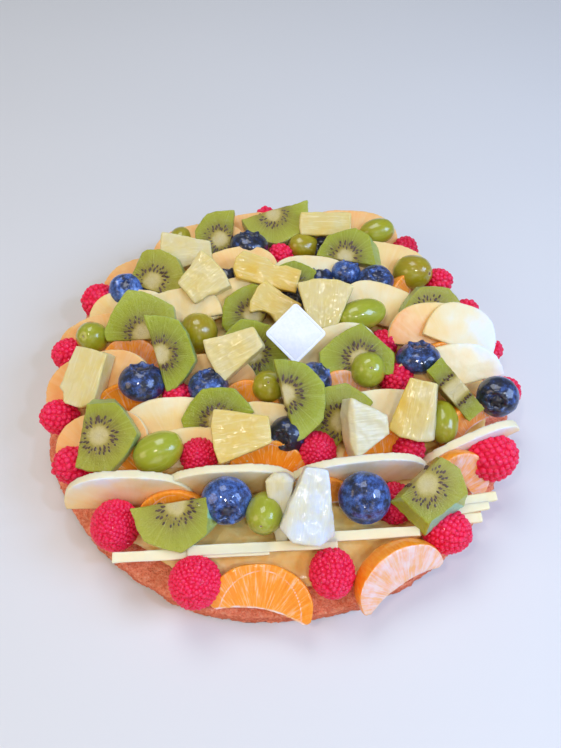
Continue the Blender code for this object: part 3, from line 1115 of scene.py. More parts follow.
@dataclass
class Fruit:
    """A piece of fruit.

    Attributes:
        name: The solid it stands for, or a name of its own.
        lie: How it lies.
        ripe: Its ripeness.
        seat: The middle of its box in plan and its top, from the middle of the base's underside. Without
            one it sits where its solid does.
        matrix: Where it went, once it is laid.
    """

    name: str
    lie: Lie
    ripe: Ripe = field(default_factory=Ripe)
    seat: tuple[float, float, float] | None = None
    matrix: Matrix = field(default_factory=lambda: Matrix.Identity(4))

    finish: ClassVar[Finish]
    prefix: ClassVar[str] = "cut_"
    core: ClassVar[tuple[float, float]] = (0.0, 0.0)
    give: ClassVar[float] = 0.06

    @property
    def seed(self) -> float:
        """A number of its own, from its name."""
        return sum((i + 3) * ord(letter) for i, letter in enumerate(self.name)) % 97

    def shape(self) -> Object:
        """Models the piece in its own frame."""
        raise NotImplementedError

    def marks(self, places: np.ndarray, normals: np.ndarray) -> np.ndarray:
        """What the finish has to know: here how far a point is on a cut side, away from the face.

        Args:
            places: The points in the piece's own frame, in millimetres.
            normals: Their normals.

        Returns:
            A value from 0 to 1 for each.
        """
        return 1 - np.abs(normals[:, 2])

    def built(self) -> Object:
        """Models the piece and stores what its finish reads.

        Returns:
            The piece, still in its own frame.
        """
        piece = self.shape()
        places = points_of(piece)
        marks = self.marks(places / MM, points_of(piece, "normal"))
        remember(piece, self.ripe.over(places), marks, self.seed, self.core)
        smooth_shaded(piece)
        piece.data.materials.append(self.finish.material())
        return piece

    def laid(self) -> Object:
        """Models the piece, turns it and sets it in its place.

        Returns:
            The piece on the tart.
        """
        piece = self.built()
        turn = self.lie.turn()
        piece.data.transform(turn)
        turn = self.fit(piece) @ turn
        shift = self.target() - top_middle(piece)
        piece.data.transform(Matrix.Translation(shift))
        self.matrix = Matrix.Translation(shift) @ turn
        return piece

    def fit(self, piece: Object) -> Matrix:
        """Presses the turned piece as its neighbours have, to the size its place in the tart allows.

        Args:
            piece: The piece, already turned.

        Returns:
            The scaling.
        """
        if self.seat is not None:
            return Matrix.Identity(4)
        places = points_of(piece)
        have = places.max(axis=0) - places.min(axis=0)
        low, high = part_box(self.name)
        shares = [min(max(0.999 * (high[i] - low[i]) / have[i], 1 - self.give), 1 + self.give) for i in range(3)]
        scale = Matrix.Diagonal((*shares, 1))
        piece.data.transform(scale)
        return scale

    def target(self) -> Vector:
        """Where the middle of the piece's top goes."""
        if self.seat is None:
            low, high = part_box(self.name)
            return Vector(((low.x + high.x) / 2, (low.y + high.y) / 2, high.z))
        low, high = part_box("tart_base")
        ground = Vector(((low.x + high.x) / 2, (low.y + high.y) / 2, low.z))
        return ground + Vector(self.seat) * MM


def top_middle(piece: Object) -> Vector:
    """The middle of a piece's box in plan, at its top.

    Args:
        piece: The piece.

    Returns:
        The point, in metres.
    """
    places = points_of(piece)
    low, high = places.min(axis=0), places.max(axis=0)
    return Vector(((low[0] + high[0]) / 2, (low[1] + high[1]) / 2, high[2]))


@dataclass
class Kiwi(Fruit):
    """Part of a kiwi slice, its rim left in flats by the peeling knife.

    Attributes:
        radius: To the rim's corners.
        corners: The corners' directions in degrees. A straight cut joins the last to the first.
        thickness: Of the slice.
        core: The middle of its seeds, which is seldom the middle of its rim.
        slants: For a flat's number, how far it slopes in towards the face.
        bulge: How far a flat swells towards the full circle.
        teal: How much of the painted cool sheen a flat gets, by the flat's number.
        voxel: The size of its skin's faces.
    """

    radius: float = 18.0
    corners: tuple[float, ...] = (0, 60, 120, 180)
    thickness: float = 7.0
    core: tuple[float, float] = (0.0, 0.0)
    slants: dict[int, float] = field(default_factory=dict)
    bulge: float = 0.35
    teal: dict[int, float] = field(default_factory=dict)
    voxel: float = 0.55
    finish: ClassVar[Finish] = KIWI

    def outline(self) -> list[Vector]:
        """The rim's points in order, in millimetres."""
        points = []
        for start, end in zip(self.corners, self.corners[1:]):
            half = math.radians((end - start) / 2)
            for share in (0.0, 0.33, 0.67):
                off = half * (2 * share - 1)
                flat = self.radius * math.cos(half) / math.cos(off)
                reach = flat + (self.radius - flat) * self.bulge
                way = math.radians(start) + half + off
                points.append(Vector((reach * math.cos(way), reach * math.sin(way), 0)))
        last = math.radians(self.corners[-1])
        points.append(Vector((self.radius * math.cos(last), self.radius * math.sin(last), 0)))
        return points

    def sides(self) -> list[tuple[Vector, Vector]]:
        """A point and the outward direction of each side of the outline, the straight cut last."""
        points = self.outline()
        found = []
        for start, end in zip(points, points[1:] + points[:1]):
            along = end - start
            found.append((start, Vector((along.y, -along.x, 0)).normalized()))
        return found

    def shape(self) -> Object:
        """Cuts a round to its flats and its straight side, then eases its edges."""
        put_everything_down()
        bpy.ops.mesh.primitive_cylinder_add(
            vertices=96, radius=self.radius * 1.04 * MM, depth=self.thickness * MM, end_fill_type="NGON"
        )
        piece = just_added(self.prefix + self.name)
        with editing(piece):
            for point, outward in self.sides():
                cut_away(point, outward)
            for flat, inset in self.slants.items():
                self.slope(flat, inset)
        skin_over(piece, self.voxel, 2)
        roughen(piece, 0.9, (5, 5, 5), self.seed)
        roughen(piece, 0.25, (1.6, 1.6, 1.6), self.seed + 7)
        return piece

    def slope(self, flat: int, inset: float) -> None:
        """Slopes one flat in towards the face, in edit mode.

        Args:
            flat: The flat's number.
            inset: How far in it meets the face.
        """
        start, end = self.corners[flat : flat + 2]
        half = math.radians((end - start) / 2)
        way = math.radians(start) + half
        outward = Vector((math.cos(way), math.sin(way), 0))
        foot = outward * self.radius * math.cos(half) - Vector((0, 0, self.thickness / 2))
        cut_away(foot, (outward * self.thickness + Vector((0, 0, inset))).normalized())

    def marks(self, places: np.ndarray, normals: np.ndarray) -> np.ndarray:
        """How far a point is on a peeled flat of the rim, times the share of painted cool sheen that flat gets.

        Args:
            places: The points in the piece's own frame, in millimetres.
            normals: Their normals.

        Returns:
            A value from 0 to 1 for each.
        """
        away = np.hypot(places[:, 0], places[:, 1]) / self.radius
        facing = normals @ np.array(self.sides()[-1][1])
        flat = np.sqrt(np.clip(1 - normals[:, 2] ** 2, 0, 1)) * np.clip((away - 0.35) / 0.15, 0, 1)
        first = self.corners[0]
        way = (np.degrees(np.arctan2(places[:, 1], places[:, 0])) - first) % 360 + first
        number = np.clip(np.searchsorted(self.corners, way) - 1, 0, len(self.corners) - 1)
        cool = np.array([self.teal.get(i, 0.45) for i in range(len(self.corners))])[number]
        # This mark places the painted cool sheen; the straight cut gets none.
        return cool * flat * np.clip((0.85 - facing) / 0.2, 0, 1)

    def holds(self, place: Vector, margin: float, cut: bool = True) -> bool:
        """Whether a place lies inside the outline.

        Args:
            place: The place, in millimetres.
            margin: How far inside it has to be.
            cut: Whether the straight cut counts.

        Returns:
            True if it does.
        """
        sides = self.sides() if cut else self.sides()[:-1]
        flat = Vector((place.x, place.y, 0))
        return all((flat - point).dot(outward) < -margin for point, outward in sides)

    def seed_places(self) -> list[Matrix]:
        """Where the seeds lie in the piece's own frame: strewn in a ring on the face, and along the straight cut.

        Returns:
            A matrix for each seed.
        """
        places = []
        middle = Vector((*self.core, 0))
        count = 52
        for i in range(count):
            wander = noise.noise_vector(Vector((i * 3.1, self.seed, 0.5)))
            way = math.tau * (i + 0.8 * wander.x) / count
            reach = (5.9, 8.3, 7.0)[i % 3] + 1.3 * wander.y
            place = middle + Vector((reach * math.cos(way), reach * math.sin(way), self.thickness / 2 - 0.15))
            if wander.z < 0.38 and self.holds(place, 1.0):
                turn = Matrix.Rotation(way + 0.35 * wander.z, 4, "Z")
                places.append(Matrix.Translation(place * MM) @ turn)
        start, outward = self.sides()[-1]
        along = Vector((-outward.y, outward.x, 0))
        deep = abs((start - middle).dot(outward))
        foot = middle + outward * (start - middle).dot(outward)
        for i in range(12):
            wander = noise.noise_vector(Vector((i * 2.3, self.seed, 7.5)))
            reach = 6.9 + 1.5 * wander.x
            if deep >= reach:
                continue
            hand = 1 if i % 2 else -1
            place = foot + along * hand * math.sqrt(reach**2 - deep**2) - outward * 0.12
            place.z = (i / 11 - 0.5) * (self.thickness - 2.0)
            if self.holds(place, 0.8, cut=False):
                turn = Matrix.Rotation(math.atan2(along.y, along.x), 4, "Z") @ Matrix.Rotation(0.6 * wander.y, 4, "X")
                turn = turn @ Matrix.Diagonal((0.8, 1.5, 1.7, 1))
                places.append(Matrix.Translation(place * MM) @ turn)
        return places


@dataclass
class SlicedApple(Fruit):
    """A thin slice of half an apple.

    Attributes:
        length: Along its straight side.
        depth: From the straight side to the top of the arc.
        thickness: Of the slice.
        shoulder: Under 1, the arc is flatter on top than at its ends.
        bow: How far its ends curl up.
        voxel: The size of its skin's faces.
    """

    length: float = 58.0
    depth: float = 21.0
    thickness: float = 4.2
    shoulder: float = 0.78
    bow: float = 0.8
    voxel: float = 0.7
    finish: ClassVar[Finish] = FRESH_SLICE

    def shape(self) -> Object:
        """Halves a round, gives it its shoulders, then eases its edges."""
        put_everything_down()
        bpy.ops.mesh.primitive_cylinder_add(
            vertices=96, radius=self.depth * MM, depth=self.thickness * MM, end_fill_type="NGON"
        )
        piece = just_added(self.prefix + self.name)
        with editing(piece):
            cut_away(Vector((0, 0, 0)), Vector((0, -1, 0)))
        reshape(piece, self.with_shoulders)
        skin_over(piece, self.voxel, 2)
        reshape(piece, self.bowed)
        roughen(piece, 0.7, (12, 12, 12), self.seed)
        roughen(piece, 0.10, (1.5, 1.5, 1.5), self.seed + 5)
        return piece

    def with_shoulders(self, places: np.ndarray) -> np.ndarray:
        """Turns the half circle into the slice's outline.

        Args:
            places: The points, in millimetres.

        Returns:
            The points moved.
        """
        moved = places.copy()
        share = np.clip(np.abs(places[:, :2]) / self.depth, 0, 1) ** self.shoulder
        moved[:, 0] = self.length / 2 * np.sign(places[:, 0]) * share[:, 0]
        moved[:, 1] = self.depth * share[:, 1]
        return moved

    def bowed(self, places: np.ndarray) -> np.ndarray:
        """Curls the ends of the slice and thins its arc.

        Args:
            places: The points, in millimetres.

        Returns:
            The points moved.
        """
        moved = places.copy()
        moved[:, 2] += self.bow * ((places[:, 0] / self.length * 2) ** 2 - 0.4)
        return moved


@dataclass(frozen=True)
class Facet:
    """A slanting cut along the top of a chunk.

    Attributes:
        way: The direction it looks in the chunk's own plan, in degrees.
        slope: Its tilt away from the face.
        inset: How far from the chunk's side it meets the face.
    """

    way: float
    slope: float
    inset: float


@dataclass(frozen=True)
class Bite:
    """A hollow in a chunk's outline, as an eye leaves.

    Attributes:
        x: Its middle across the chunk.
        y: Its middle along the chunk.
        radius: Of the hollow.
    """

    x: float
    y: float
    radius: float


@dataclass
class Pineapple(Fruit):
    """A chunk of pineapple: a tapering block, wide where the skin was.

    Attributes:
        length: From the narrow end to the wide one.
        wide: Across the wide end.
        narrow: Across the narrow end.
        thickness: Of the chunk.
        nose: How far the middle of the wide end bulges.
        facets: Slanting cuts.
        bites: Hollows.
        voxel: The size of its skin's faces.
    """

    length: float = 26.0
    wide: float = 24.0
    narrow: float = 12.0
    thickness: float = 12.0
    nose: float = 2.0
    facets: tuple[Facet, ...] = ()
    bites: tuple[Bite, ...] = ()
    voxel: float = 0.6
    finish: ClassVar[Finish] = PINEAPPLE

    def shape(self) -> Object:
        """Tapers a block, trims its corners and hollows, then draws its surface into fibres."""
        put_everything_down()
        bpy.ops.mesh.primitive_cube_add(size=MM)
        piece = just_added(self.prefix + self.name)
        with editing(piece):
            bpy.ops.transform.resize(value=(self.wide, self.length, self.thickness))
            choose_faces(piece, lambda middle, normal: normal.y < -0.5)
            bpy.ops.transform.resize(value=(self.narrow / self.wide, 1, 0.88))
            for hand in (-1, 1):
                corner = Vector((hand * self.wide / 2, self.length / 2 - self.nose, 0))
                along = Vector((hand * self.wide * 0.2, self.length / 2, 0)) - corner
                cut_away(corner, Vector((along.y, -along.x, 0)).normalized() * hand)
            for facet in self.facets:
                self.trim(facet)
        for bite in self.bites:
            self.hollow(piece, bite)
        skin_over(piece, self.voxel, 2)
        roughen(piece, 1.1, (7, 9, 7), self.seed)
        roughen(piece, 0.28, (1.2, 10, 1.5), self.seed + 3)
        return piece

    def trim(self, facet: Facet) -> None:
        """Makes one slanting cut, in edit mode.

        Args:
            facet: The cut.
        """
        way, slope = math.radians(facet.way), math.radians(facet.slope)
        level = Vector((math.cos(way), math.sin(way), 0))
        reach = self.wide / 2 * abs(level.x) + self.length / 2 * abs(level.y)
        point = level * (reach - facet.inset) + Vector((0, 0, self.thickness / 2))
        cut_away(point, level * math.sin(slope) + Vector((0, 0, math.cos(slope))))

    def hollow(self, piece: Object, bite: Bite) -> None:
        """Scoops one hollow out of the outline.

        Args:
            piece: The chunk.
            bite: The hollow.
        """
        put_everything_down()
        bpy.ops.mesh.primitive_cylinder_add(
            vertices=48,
            radius=bite.radius * MM,
            depth=self.thickness * 2 * MM,
            location=Vector((bite.x, bite.y, 0)) * MM,
        )
        scoop = just_added("scoop")
        cut = piece.modifiers.new("hollow", "BOOLEAN")
        cut.operation = "DIFFERENCE"
        cut.solver = "EXACT"
        cut.object = scoop
        apply_modifiers(piece)
        bpy.data.objects.remove(scoop)


@dataclass
class Mandarin(Fruit):
    """A mandarin segment: a crescent with a thin inner edge and a rounded back.

    Attributes:
        length: From end to end.
        depth: From the inner edge to the back.
        thickness: At the back.
        curl: How far its ends bend round the inner edge.
        voxel: The size of its skin's faces.
    """

    length: float = 42.0
    depth: float = 18.0
    thickness: float = 12.0
    curl: float = 4.6
    voxel: float = 0.6
    finish: ClassVar[Finish] = MANDARIN
    give: ClassVar[float] = 0.2

    def shape(self) -> Object:
        """Cuts a wedge from a ball, curls it and swells its skin."""
        put_everything_down()
        bpy.ops.mesh.primitive_uv_sphere_add(segments=64, ring_count=32, radius=MM)
        piece = just_added(self.prefix + self.name)
        half = math.asin(min(0.95, self.thickness / self.depth / 2))
        with editing(piece):
            bpy.ops.transform.resize(value=(self.length / 2, self.depth, self.depth))
            for hand in (-1, 1):
                cut_away(Vector((0, -0.6, 0)), Vector((0, -math.sin(half), hand * math.cos(half))))
                for share, slant in ((0.44, 0.4), (0.37, 1.7)):
                    cut_away(Vector((hand * self.length * share, 0, 0)), Vector((hand, -slant, 0)).normalized())
        skin_over(piece, self.voxel, 10)
        reshape(piece, self.curled)
        roughen(piece, 0.8, (7, 9, 7), self.seed)
        roughen(piece, 0.25, (1.6, 5, 1.6), self.seed + 2)
        return piece

    def curled(self, places: np.ndarray) -> np.ndarray:
        """Blunts the ends and bends them round the inner edge.

        Args:
            places: The points, in millimetres.

        Returns:
            The points moved.
        """
        moved = places.copy()
        share = np.sin(np.clip(places[:, 0] / self.length * 2, -1, 1) * math.pi / 2)
        moved[:, 0] = self.length / 2 * share
        moved[:, 1] -= self.curl * share**2
        return moved

    def marks(self, places: np.ndarray, normals: np.ndarray) -> np.ndarray:
        """Where the pith is left: 0 on the back, a half on the flat sides, 1 along the edges between them.

        Args:
            places: The points in the piece's own frame, in millimetres.
            normals: Their normals.

        Returns:
            A value from 0 to 1 for each.
        """
        lean = np.abs(normals[:, 2])
        side = 0.5 * np.clip((lean - 0.55) / 0.25, 0, 1)
        share = places[:, 0] / self.length * 2
        reach = np.hypot(share, (places[:, 1] + self.curl * share**2) / self.depth)
        seam = np.clip(1 - np.abs(reach - 0.80) / 0.055, 0, 1) * (side > 0.3)
        inner = np.clip(1 - (places[:, 1] + self.curl * share**2) / 1.3, 0, 1)
        return np.maximum(np.maximum(side, seam), inner)


@dataclass
class Grape(Fruit):
    """A white grape, whole.

    Attributes:
        diameter: Across.
        length: From the stalk's scar to the other end.
        scarred: Whether the scar is on the end that looks out, and not on the hidden one.
    """

    diameter: float = 18.0
    length: float = 21.0
    scarred: bool = True
    finish: ClassVar[Finish] = GRAPE
    prefix: ClassVar[str] = "whole_"

    def shape(self) -> Object:
        """Draws a ball out to an oval and presses the stalk's scar into its end."""
        put_everything_down()
        bpy.ops.mesh.primitive_uv_sphere_add(segments=32, ring_count=20, radius=MM)
        piece = just_added(self.prefix + self.name)
        with editing(piece):
            bpy.ops.transform.resize(value=(self.diameter / 2, self.diameter / 2, self.length / 2))
            choose_faces(piece, lambda middle, normal: middle.z > 0 and middle.xy.length < self.diameter * 0.10)
            bpy.ops.transform.translate(value=(0, 0, -0.35 * MM))
            bpy.ops.mesh.inset(thickness=0.35 * MM, depth=0.15 * MM)
            bpy.ops.mesh.inset(thickness=0.4 * MM, depth=-0.4 * MM)
        finer = piece.modifiers.new("finer", "SUBSURF")
        finer.levels = finer.render_levels = 1
        apply_modifiers(piece)
        roughen(piece, 0.9, (9, 9, 12), self.seed)
        return piece

    def marks(self, places: np.ndarray, normals: np.ndarray) -> np.ndarray:
        """The scar: 1 in its middle, falling to 0 at 3 mm.

        Args:
            places: The points in the piece's own frame, in millimetres.
            normals: Their normals.

        Returns:
            A value from 0 to 1 for each.
        """
        away = np.hypot(places[:, 0], places[:, 1])
        reach = 2.2 if self.scarred else 0.9
        return np.where(places[:, 2] > 0, np.clip(1 - away / reach, 0, 1), 0)


class BerryEnd(Enum):
    """Which end of a blueberry looks out."""

    CALYX = "calyx"
    STALK = "stalk"


@dataclass
class Blueberry(Fruit):
    """A blueberry, whole.

    Attributes:
        diameter: Across.
        squash: Its height as a share of that.
        end: The end that looks out.
    """

    diameter: float = 21.0
    squash: float = 0.8
    end: BerryEnd = BerryEnd.CALYX
    finish: ClassVar[Finish] = BLUEBERRY
    give: ClassVar[float] = 0.3
    prefix: ClassVar[str] = "whole_"

    def shape(self) -> Object:
        """Flattens a ball and gives its upper end the five-pointed crown, or the stalk's dimple."""
        put_everything_down()
        bpy.ops.mesh.primitive_uv_sphere_add(segments=40, ring_count=24, radius=MM)
        piece = just_added(self.prefix + self.name)
        radius = self.diameter / 2
        with editing(piece):
            bpy.ops.transform.resize(value=(radius, radius, radius * self.squash))
            if self.end is BerryEnd.CALYX:
                self.press_crown(piece, radius)
            else:
                self.press_stalk(piece, radius)
        finer = piece.modifiers.new("finer", "SUBSURF")
        finer.levels = finer.render_levels = 1
        apply_modifiers(piece)
        roughen(piece, 1.0, (8, 8, 8), self.seed)
        roughen(piece, 0.2, (2, 2, 2), self.seed + 4)
        return piece

    def press_crown(self, piece: Object, radius: float) -> None:
        """Raises a frilled collar round a crater, in edit mode.

        Args:
            piece: The berry.
            radius: Its radius.
        """
        choose_faces(piece, lambda middle, normal: middle.z > 0 and middle.xy.length < radius * 0.46)
        bpy.ops.mesh.inset(thickness=radius * 0.05 * MM, depth=radius * 0.035 * MM)
        bpy.ops.mesh.inset(thickness=radius * 0.07 * MM, depth=-radius * 0.05 * MM)
        bpy.ops.mesh.inset(thickness=radius * 0.05 * MM, depth=-radius * 0.13 * MM)
        body = bmesh.from_edit_mesh(piece.data)
        for point in body.verts:
            place = point.co / MM
            away = place.xy.length
            if place.z > 0 and radius * 0.24 < away < radius * 0.47:
                lobe = math.cos(5 * math.atan2(place.y, place.x))
                point.co.xy *= 1 + 0.20 * lobe
                point.co.z += radius * 0.07 * lobe * MM
        bmesh.update_edit_mesh(piece.data)

    def press_stalk(self, piece: Object, radius: float) -> None:
        """Presses the shallow dimple and the small hole of the stalk, in edit mode.

        Args:
            piece: The berry.
            radius: Its radius.
        """
        choose_faces(piece, lambda middle, normal: middle.z > 0 and middle.xy.length < radius * 0.30)
        bpy.ops.transform.translate(value=(0, 0, -radius * 0.04 * MM))
        bpy.ops.mesh.inset(thickness=radius * 0.12 * MM, depth=-radius * 0.04 * MM)
        bpy.ops.mesh.inset(thickness=radius * 0.04 * MM, depth=-radius * 0.10 * MM)

    def marks(self, places: np.ndarray, normals: np.ndarray) -> np.ndarray:
        """The dark bottom of the crater or of the stalk's hole.

        Args:
            places: The points in the piece's own frame, in millimetres.
            normals: Their normals.

        Returns:
            A value from 0 to 1 for each.
        """
        away = np.hypot(places[:, 0], places[:, 1]) / (self.diameter / 2)
        edge = 0.30 if self.end is BerryEnd.CALYX else 0.14
        return np.where(places[:, 2] > 0, np.clip((edge - away) / 0.1, 0, 0.85), 0)


@dataclass
class Raspberry(Fruit):
    """A raspberry: rings of beads on a blunt hollow cone.

    Attributes:
        diameter: Across the beads.
        length: From the open end to the tip.
        bead: Across one bead.
    """

    diameter: float = 20.0
    length: float = 20.0
    bead: float = 3.1
    finish: ClassVar[Finish] = RASPBERRY
    prefix: ClassVar[str] = "whole_"

    def shape(self) -> Object:
        """Shapes the cone, models one bead and sets copies of it in staggered rings."""
        put_everything_down()
        bpy.ops.mesh.primitive_uv_sphere_add(segments=24, ring_count=12, radius=MM)
        core = just_added(self.prefix + self.name)
        deep = self.bead * 0.24
        with editing(core):
            size = (self.diameter / 2 - deep, self.diameter / 2 - deep, self.length / 2 - deep)
            bpy.ops.transform.resize(value=size)
            choose_faces(core, lambda middle, normal: normal.z < -0.90)
            bpy.ops.mesh.inset(thickness=1.2 * MM, depth=-0.8 * MM)
            bpy.ops.mesh.inset(thickness=0.8 * MM, depth=-3.0 * MM)
        reshape(core, self.blunted)
        bead = self.one_bead()
        body = bmesh.new()
        body.from_mesh(core.data)
        for place in self.bead_places():
            beads = bead.copy()
            beads.transform(place)
            body.from_mesh(beads)
            bpy.data.meshes.remove(beads)
        body.to_mesh(core.data)
        body.free()
        bpy.data.meshes.remove(bead)
        return core

    def one_bead(self) -> bpy.types.Mesh:
        """Models one bead: a small ball, its tip drawn up a little.

        Returns:
            Its mesh.
        """
        put_everything_down()
        bpy.ops.mesh.primitive_uv_sphere_add(segments=9, ring_count=6, radius=MM)
        piece = just_added("bead")
        half = self.bead / 2
        with editing(piece):
            bpy.ops.transform.resize(value=(half, half, half * 0.92))
            choose_points(piece, lambda place: place.z > half * 0.6)
            bpy.ops.transform.resize(value=(0.8, 0.8, 1))
        mesh = piece.data
        bpy.data.objects.remove(piece)
        return mesh

    def blunted(self, places: np.ndarray) -> np.ndarray:
        """Draws the ball into a blunt cone, broad below and narrower at the tip.

        Args:
            places: The points, in millimetres.

        Returns:
            The points moved.
        """
        moved = places.copy()
        high = places[:, 2] / (self.length / 2)
        moved[:, :2] *= (1.0 - 0.10 * high - 0.06 * high**2)[:, None]
        return moved

    def bead_places(self) -> list[Matrix]:
        """Where each bead sits on the cone, staggered from ring to ring.

        Returns:
            A matrix for each bead.
        """
        places = []
        long, wide = self.length / 2 - self.bead * 0.42, self.diameter / 2 - self.bead * 0.42
        rings = max(6, round(math.pi * (long + wide) / 2 * 0.82 / (self.bead * 0.74)))
        for ring in range(rings + 1):
            lean = math.radians(4 + 142 * ring / rings)
            away, high = wide * math.sin(lean), long * math.cos(lean)
            share = high / (self.length / 2)
            away *= 1.0 - 0.10 * share - 0.06 * share**2
            count = max(1, round(math.tau * away / (self.bead * 0.84)))
            for i in range(count):
                stray = noise.noise_vector(Vector((i * 1.7, ring * 2.3, self.seed)))
                way = math.tau * (i + 0.5 * (ring % 2) + 0.45 * stray.x) / count
                place = Vector((away * math.cos(way), away * math.sin(way), high + 0.22 * self.bead * stray.y))
                out = Vector((math.sin(lean) * math.cos(way), math.sin(lean) * math.sin(way), math.cos(lean)))
                turn = out.to_track_quat("Z", "Y").to_matrix().to_4x4()
                swell = 1.0 + 0.26 * stray.z
                places.append(Matrix.Translation(place * MM) @ turn @ Matrix.Scale(swell, 4))
        return places

    def marks(self, places: np.ndarray, normals: np.ndarray) -> np.ndarray:
        """How far a point stands out of the clefts, which the finish turns into painted shade in the clefts and a
        painted highlight on the bead tops.

        Args:
            places: The points in the piece's own frame, in millimetres.
            normals: Their normals.

        Returns:
            A value from 0 to 1 for each.
        """
        share = places[:, 2] / (self.length / 2)
        wide = (self.diameter / 2) * (1.0 - 0.10 * share - 0.06 * share**2)
        away = np.hypot(np.hypot(places[:, 0], places[:, 1]) / wide, share)
        return np.clip((away - 1 + 2.0 * self.bead / self.diameter * 0.62) / (2.0 * self.bead / self.diameter * 0.62), 0, 1)


# ---------------------------------------------------------------- what the tart is made of


@dataclass
class Base:
    """The biscuit base, with the crumbs that have come loose along its edge.

    Attributes:
        voxel: The size of its skin's faces.
        crumbs: How many loose crumbs lie on it.
        largest: The largest crumb.
    """

    voxel: float = 1.25
    crumbs: int = 1100
    largest: float = 1.6

    def build(self) -> list[Object]:
        """Roughens the disc and scatters its crumbs.

        Returns:
            The disc and the crumbs.
        """
        disc = copy_of_solid("tart_base", "biscuit_base")
        skin_over(disc, self.voxel, 1)
        roughen(disc, 2.4, (8, 8, 8), 3, inward=True)
        roughen(disc, 1.8, (2.2, 2.2, 2.2), 5, inward=True)
        self.settle(disc)
        normals = points_of(disc, "normal")
        remember(disc, np.zeros(len(normals)), np.clip(1 - np.abs(normals[:, 2]) * 1.4, 0, 1), 1.0)
        smooth_shaded(disc)
        disc.data.materials.append(CRUMB.material())
        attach(disc, "root")
        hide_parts("tart_base")
        crumbs = self.scatter(disc)
        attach(crumbs, "root")
        return [disc, crumbs]

    def settle(self, disc: Object) -> None:
        """Presses the underside flat, on the board.

        Args:
            disc: The base.
        """
        low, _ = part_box("tart_base")

        def flatten(places: np.ndarray) -> np.ndarray:
            moved = places.copy()
            floor = low.z / MM
            moved[:, 2] = np.where(places[:, 2] < floor + 1.2, floor, places[:, 2])
            return moved

        reshape(disc, flatten)

    def scatter(self, disc: Object) -> Object:
        """Models one crumb and strews uneven copies along the edge of the base.

        Args:
            disc: The base.

        Returns:
            All the crumbs as one piece.
        """
        put_everything_down()
        bpy.ops.mesh.primitive_ico_sphere_add(subdivisions=1, radius=0.5 * MM)
        seed_crumb = just_added("base_crumbs")
        with editing(seed_crumb):
            bpy.ops.mesh.select_random(ratio=0.4, seed=4)
            bpy.ops.transform.resize(value=(1.3, 0.8, 1.2))
        places, normals = points_of(disc), points_of(disc, "normal")
        low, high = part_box("tart_base")
        middle = np.array(((low.x + high.x) / 2, (low.y + high.y) / 2))
        away = np.hypot(*(places[:, :2] - middle).T) / MM
        edge = np.flatnonzero((away > 104) & (places[:, 2] > low.z + 1.2 * MM))
        body = bmesh.new()
        for i in range(self.crumbs):
            stray = noise.noise_vector(Vector((i * 0.61, 4.2, i * 0.17)))
            other = noise.noise_vector(Vector((i * 0.37, 9.1, i * 0.23)))
            point = edge[int(len(edge) * ((i * 0.6180339) % 1.0))]
            size = 0.45 + self.largest * abs(stray.x) ** 1.5
            place = Vector(places[point]) - Vector(normals[point]) * size * 0.1 * MM
            turn = Matrix.Rotation(stray.z * 7, 4, other.normalized())
            grown = Matrix.Diagonal((size, size * (1 + 0.4 * other.x), size * (0.8 + 0.3 * other.y), 1))
            crumb = seed_crumb.data.copy()
            crumb.transform(Matrix.Translation(place) @ turn @ grown)
            body.from_mesh(crumb)
            bpy.data.meshes.remove(crumb)
        body.to_mesh(seed_crumb.data)
        body.free()
        count = len(seed_crumb.data.vertices)
        remember(seed_crumb, np.zeros(count), np.zeros(count), 2.0)
        smooth_shaded(seed_crumb)
        seed_crumb.data.materials.append(CRUMB.material())
        return seed_crumb


@dataclass
class Cream:
    """The pastry cream under the fruit.

    Attributes:
        voxel: The size of its skin's faces.
    """

    voxel: float = 1.4

    def build(self) -> Object:
        """Softens the mound and leaves the marks of the palette knife in it.

        Returns:
            The cream.
        """
        mound = copy_of_solid("cream", "spread_cream")
        reshape(mound, self.spread)
        skin_over(mound, self.voxel, 3)
        roughen(mound, 1.6, (9, 9, 9), 12, inward=True)
        roughen(mound, 0.6, (3, 3, 3), 13)
        count = len(mound.data.vertices)
        remember(mound, np.zeros(count), np.zeros(count), 3.0)
        smooth_shaded(mound)
        mound.data.materials.append(CREAM.material())
        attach(mound, "root")
        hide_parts("cream")
        return mound


    def spread(self, places: np.ndarray) -> np.ndarray:
        """Pushes the rim out here and there, as the knife leaves it.

        Args:
            places: The points, in millimetres.

        Returns:
            The points moved.
        """
        moved = places.copy()
        for point, place in zip(moved, places):
            stray = noise.noise(Vector((place[0], place[1], 3.0)) / 16)
            point[:2] *= 1 + 0.045 * max(0.0, 0.5 + stray)
        return moved


